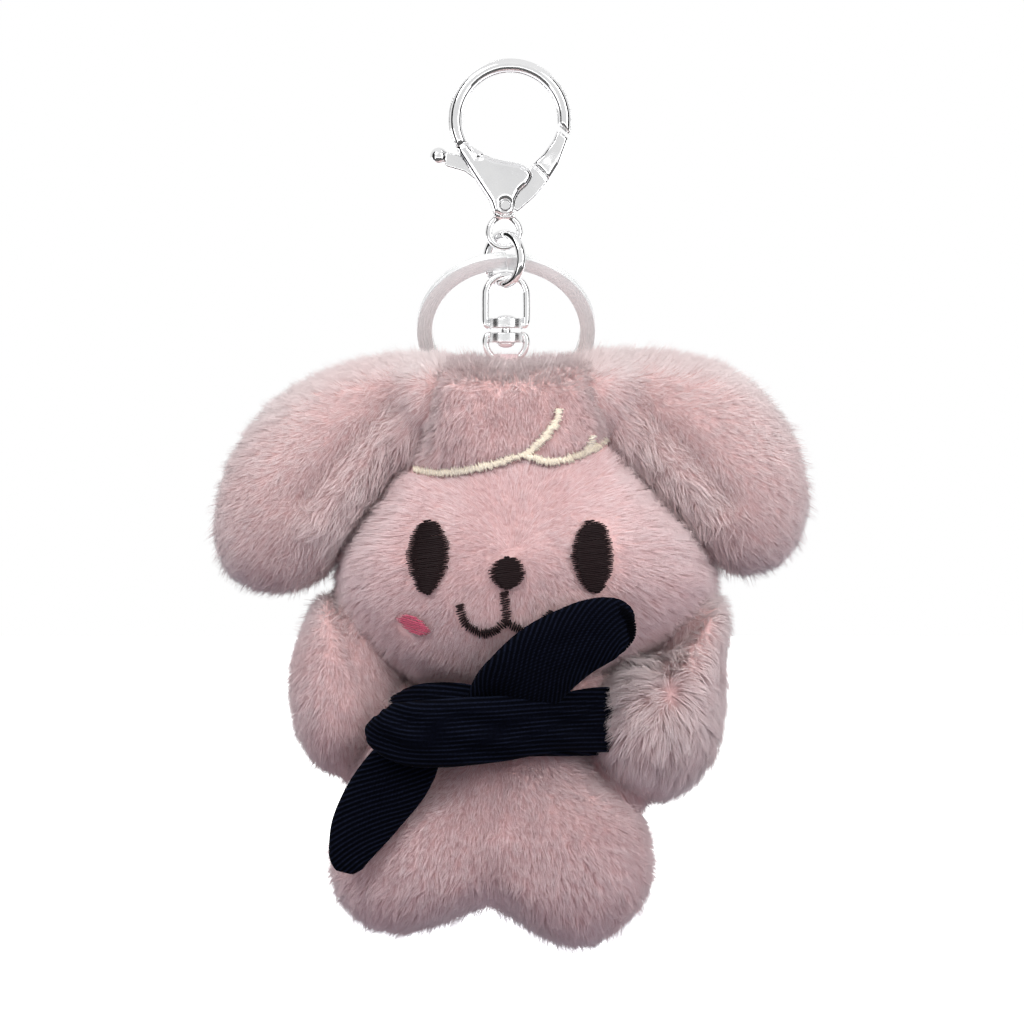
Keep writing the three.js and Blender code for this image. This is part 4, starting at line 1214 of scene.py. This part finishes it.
# each end's rows are x, z, how far behind the end's front it lies, half width, half depth
UPPER_END = [(-3.0, -107.0, 7.0, 5.0, 1.2), (-0.8, -104.4, 4.4, 6.4, 1.6), (1.9, -101.4, 1.4, 7.0, 1.9),
             (5.8, -97.6, 0.2, 6.7, 1.9), (10.0, -94.8, 0, 6.0, 1.8), (13.8, -93.0, 0, 5.6, 1.7),
             (16.8, -92.2, 0.1, 5.0, 1.5), (19.0, -92.2, 0.4, 3.9, 1.0), (20.1, -92.4, 0.6, 1.9, 0.4)]
UPPER_LEAN = (0.5, 0.5, 0.45, 0.3, 0.15, 0.05, 0, 0, 0)
UPPER_RIM = [(11.2, -88.6), (14.2, -87.6), (17.0, -87.9), (19.4, -89.3),
             (20.6, -91.6), (20.4, -94.0), (18.6, -96.2), (15.8, -97.8)]
LOWER_END = [(-15.2, -112.0, -2.6, 4.4, 0.8), (-16.8, -114.2, -2.6, 5.3, 1.3), (-19.2, -117.4, -2.0, 5.8, 1.7),
             (-22.2, -121.4, -1.0, 5.6, 1.7), (-24.8, -125.6, -0.4, 4.9, 1.6), (-26.3, -129.0, 0, 3.8, 1.4),
             (-27.0, -131.4, 0.2, 2.8, 1.1), (-27.3, -132.7, 0.4, 1.5, 0.5)]
# the tie's rows are x, z, half width, half depth
TIE = [(-22.9, -107.4, 0.8, 0.6), (-22.3, -107.9, 2.6, 1.8), (-20.6, -108.7, 4.2, 2.7), (-16.5, -109.6, 5.3, 3.2),
       (-11.5, -109.6, 5.6, 3.2), (-6.5, -109.2, 5.6, 2.9), (-1.5, -108.8, 5.4, 2.4), (4.0, -108.2, 5.0, 1.8),
       (9.0, -107.8, 4.9, 1.5), (13.4, -107.6, 5.3, 1.3), (16.2, -107.6, 5.4, 0.9)]


def twill_piece(name, body, node, fill, *shape, **ways):
    mesh = strip(name, *shape, **ways)
    show(mesh, name, TWILL, body, [node])


def build_scarf():
    """Two ends, the band round the neck and the tie, each a padded strip of twill."""
    for side, rows, across, rib_angle in (("upper", UPPER_END, [(-0.68, -lean, 0.73) for lean in UPPER_LEAN], -35),
                                          ("lower", LOWER_END, [(0.86, 0, -0.5)] * len(LOWER_END), 36)):
        y = middle(f"scarf_tail_{side}")[1]
        spine = [(x, y + back, z) for x, z, back, _, _ in rows]
        twill_piece(f"scarf_{side}", f"scarf_{side}_end", f"scarf_tail_{side}", 0.3,
                    spine, [r[3] for r in rows], [r[4] for r in rows], across, rib_angle, waves=0.12)
        if side == "upper":
            overlock("scarf_upper_edge", [(x, y + 0.2, z) for x, z in UPPER_RIM], 0.95, "scarf_upper_end")

    low, high = corners("scarf_wrap")
    centre = (low + high) / 2
    half_x, half_y = (high[0] - low[0]) / 2 - 1.0, (high[1] - low[1]) / 2
    ring, widths, sides = [], [], []
    for a in np.linspace(0, 2 * math.pi, 24, endpoint=False):
        x, yy = math.cos(a), math.sin(a)
        front = max(0.0, -yy)
        left = max(0.0, -x) * front
        ring.append((centre[0] + half_x * x, half_y * yy - 0.4 * front, centre[2] + 2.0 * front + 2.6 * left))
        widths.append(3.8 + 1.7 * front + 1.2 * left)
        sides.append((0, 0, 1))
    twill_piece("scarf_round", "plush", "scarf_wrap", 0.3,
                ring, widths, [1.6] * len(ring), sides, 3, closed=True, waves=0.5)

    y = corners("scarf_knot")[0][1] + 2.6
    # the tie bends back toward the paw at its right
    spine = [(x, y + 0.035 * max(0.0, x + 1) ** 2, z) for x, z, _, _ in TIE]
    twill_piece("scarf_tie", "plush", "scarf_knot", 0.5,
                spine, [r[2] for r in TIE], [r[3] for r in TIE], [(0, 0, 1)] * len(TIE), 2, waves=0.5)


build_scarf()


# ---------------------------------------------------------------- stage

# the stage is in metres
TRAY = 0.36
TRAY_GLOW = 0.32
QUAD = [(0, 1, 2, 3)]


def add_card(name, points, faces, grey, seen_by, tint=(1, 1, 1)):
    """A studio card that the camera doesn't see: it shows in metal's reflections, or it shades cloth."""
    mesh = bpy.data.meshes.new(name)
    mesh.from_pydata(points, [], faces)
    card = bpy.data.objects.new(name, mesh)
    bpy.context.scene.collection.objects.link(card)
    paint = Nodes(name, Roughness=1.0, Base_Color=(0, 0, 0, 1), Emission_Color=(*tint, 1), Emission_Strength=grey)
    mesh.materials.append(paint.material)
    card.visible_camera = card.visible_shadow = False
    card.visible_diffuse = seen_by == "cloth"
    card.visible_glossy = seen_by == "metal"


def build_stage():
    """A pale floor under the hanging object, soft lights and a camera straight in front of it."""
    low, high = (np.array(c) for c in CAD_BOX)
    floor_mesh = bpy.data.meshes.new("floor")
    reach, under = 4.0, low[2] - 0.012
    square = ((-reach, -reach), (reach, -reach), (reach, reach), (-reach, reach))
    floor_mesh.from_pydata([(x, y, under) for x, y in square], [], QUAD)
    floor = bpy.data.objects.new("floor", floor_mesh)
    bpy.context.scene.collection.objects.link(floor)
    paper = Nodes("floor_paper", Roughness=0.9, Base_Color=(0.86, 0.86, 0.86, 1),
                  Emission_Color=(1, 1, 1, 1), Emission_Strength=1.0)
    floor_mesh.materials.append(paper.material)

    scene = bpy.context.scene
    scene.world = bpy.data.worlds.new("room")
    scene.world.use_nodes = True
    background = scene.world.node_tree.nodes["Background"]
    background.inputs["Color"].default_value = (1, 1, 1, 1)
    background.inputs["Strength"].default_value = 1.0
    scene.view_settings.view_transform = "Standard"

    for name, place, size, power in (("key", (-0.45, -0.6, 0.5), 0.5, 4.0), ("fill", (0.55, -0.6, 0.2), 0.6, 3.7)):
        lamp = bpy.data.lights.new(name, "AREA")
        lamp.energy, lamp.size = power, size
        light = bpy.data.objects.new(name, lamp)
        scene.collection.objects.link(light)
        light.location = place
        aim = Vector((0, 0, -0.08)) - Vector(place)
        light.rotation_euler = aim.to_track_quat("-Z", "Y").to_euler()

    # cards that only the metal sees: a grey one in front, a black one on each side for the dark edge lines, a dark
    # one below and a pale room round them all
    front = [(x, -0.62, z) for x, z in ((-0.5, -0.5), (0.5, -0.5), (0.5, 0.4), (-0.5, 0.4))]
    add_card("card_front", front, QUAD, 0.80, "metal")
    for name, x in (("flag_left", -0.2), ("flag_right", 0.2)):
        flag = [(x, y, z) for y, z in ((-0.13, -0.25), (0.03, -0.25), (0.03, 0.2), (-0.13, 0.2))]
        add_card(name, flag, QUAD, 0.0, "metal")
    below = [(x, y, -0.156) for x, y in ((-0.2, -0.4), (0.2, -0.4), (0.2, 0.0), (-0.2, 0.0))]
    add_card("card_low", below, QUAD, 0.10, "metal")
    room = [(x, y, z) for z in (-1, 1) for x, y in ((-1, -1), (1, -1), (1, 1), (-1, 1))]
    walls = [(0, 1, 2, 3), (4, 5, 6, 7)] + [(i, (i + 1) % 4, 4 + (i + 1) % 4, 4 + i) for i in range(4)]
    add_card("room_card", room, walls, 0.88, "metal")
    # a dim tray round and under the object keeps the white floor's light off the pile, so that it is lit from above
    sides = 16
    turn = np.arange(sides) * 2 * math.pi / sides
    rim = [(TRAY * math.cos(a), TRAY * math.sin(a)) for a in turn]
    points = [(x, y, under + 0.003) for x, y in rim] + [(x, y, -0.045) for x, y in rim]
    walls = [(i, (i + 1) % sides, sides + (i + 1) % sides, sides + i) for i in range(sides)]
    add_card("tray", points, walls + [tuple(range(sides))], TRAY_GLOW, "cloth", (0.86, 0.80, 1.0))

    camera_data = bpy.data.cameras.new("camera")
    camera = bpy.data.objects.new("camera", camera_data)
    scene.collection.objects.link(camera)
    scene.camera = camera
    aim = Vector((0.0003, 0, -0.0733))
    view_width, distance = 0.1707, 1.3
    camera_data.sensor_width = 36
    camera_data.lens = 36 * distance / view_width
    camera.location = aim + Vector((0, -distance, 0))
    camera.rotation_euler = (math.pi / 2, 0, 0)


build_stage()
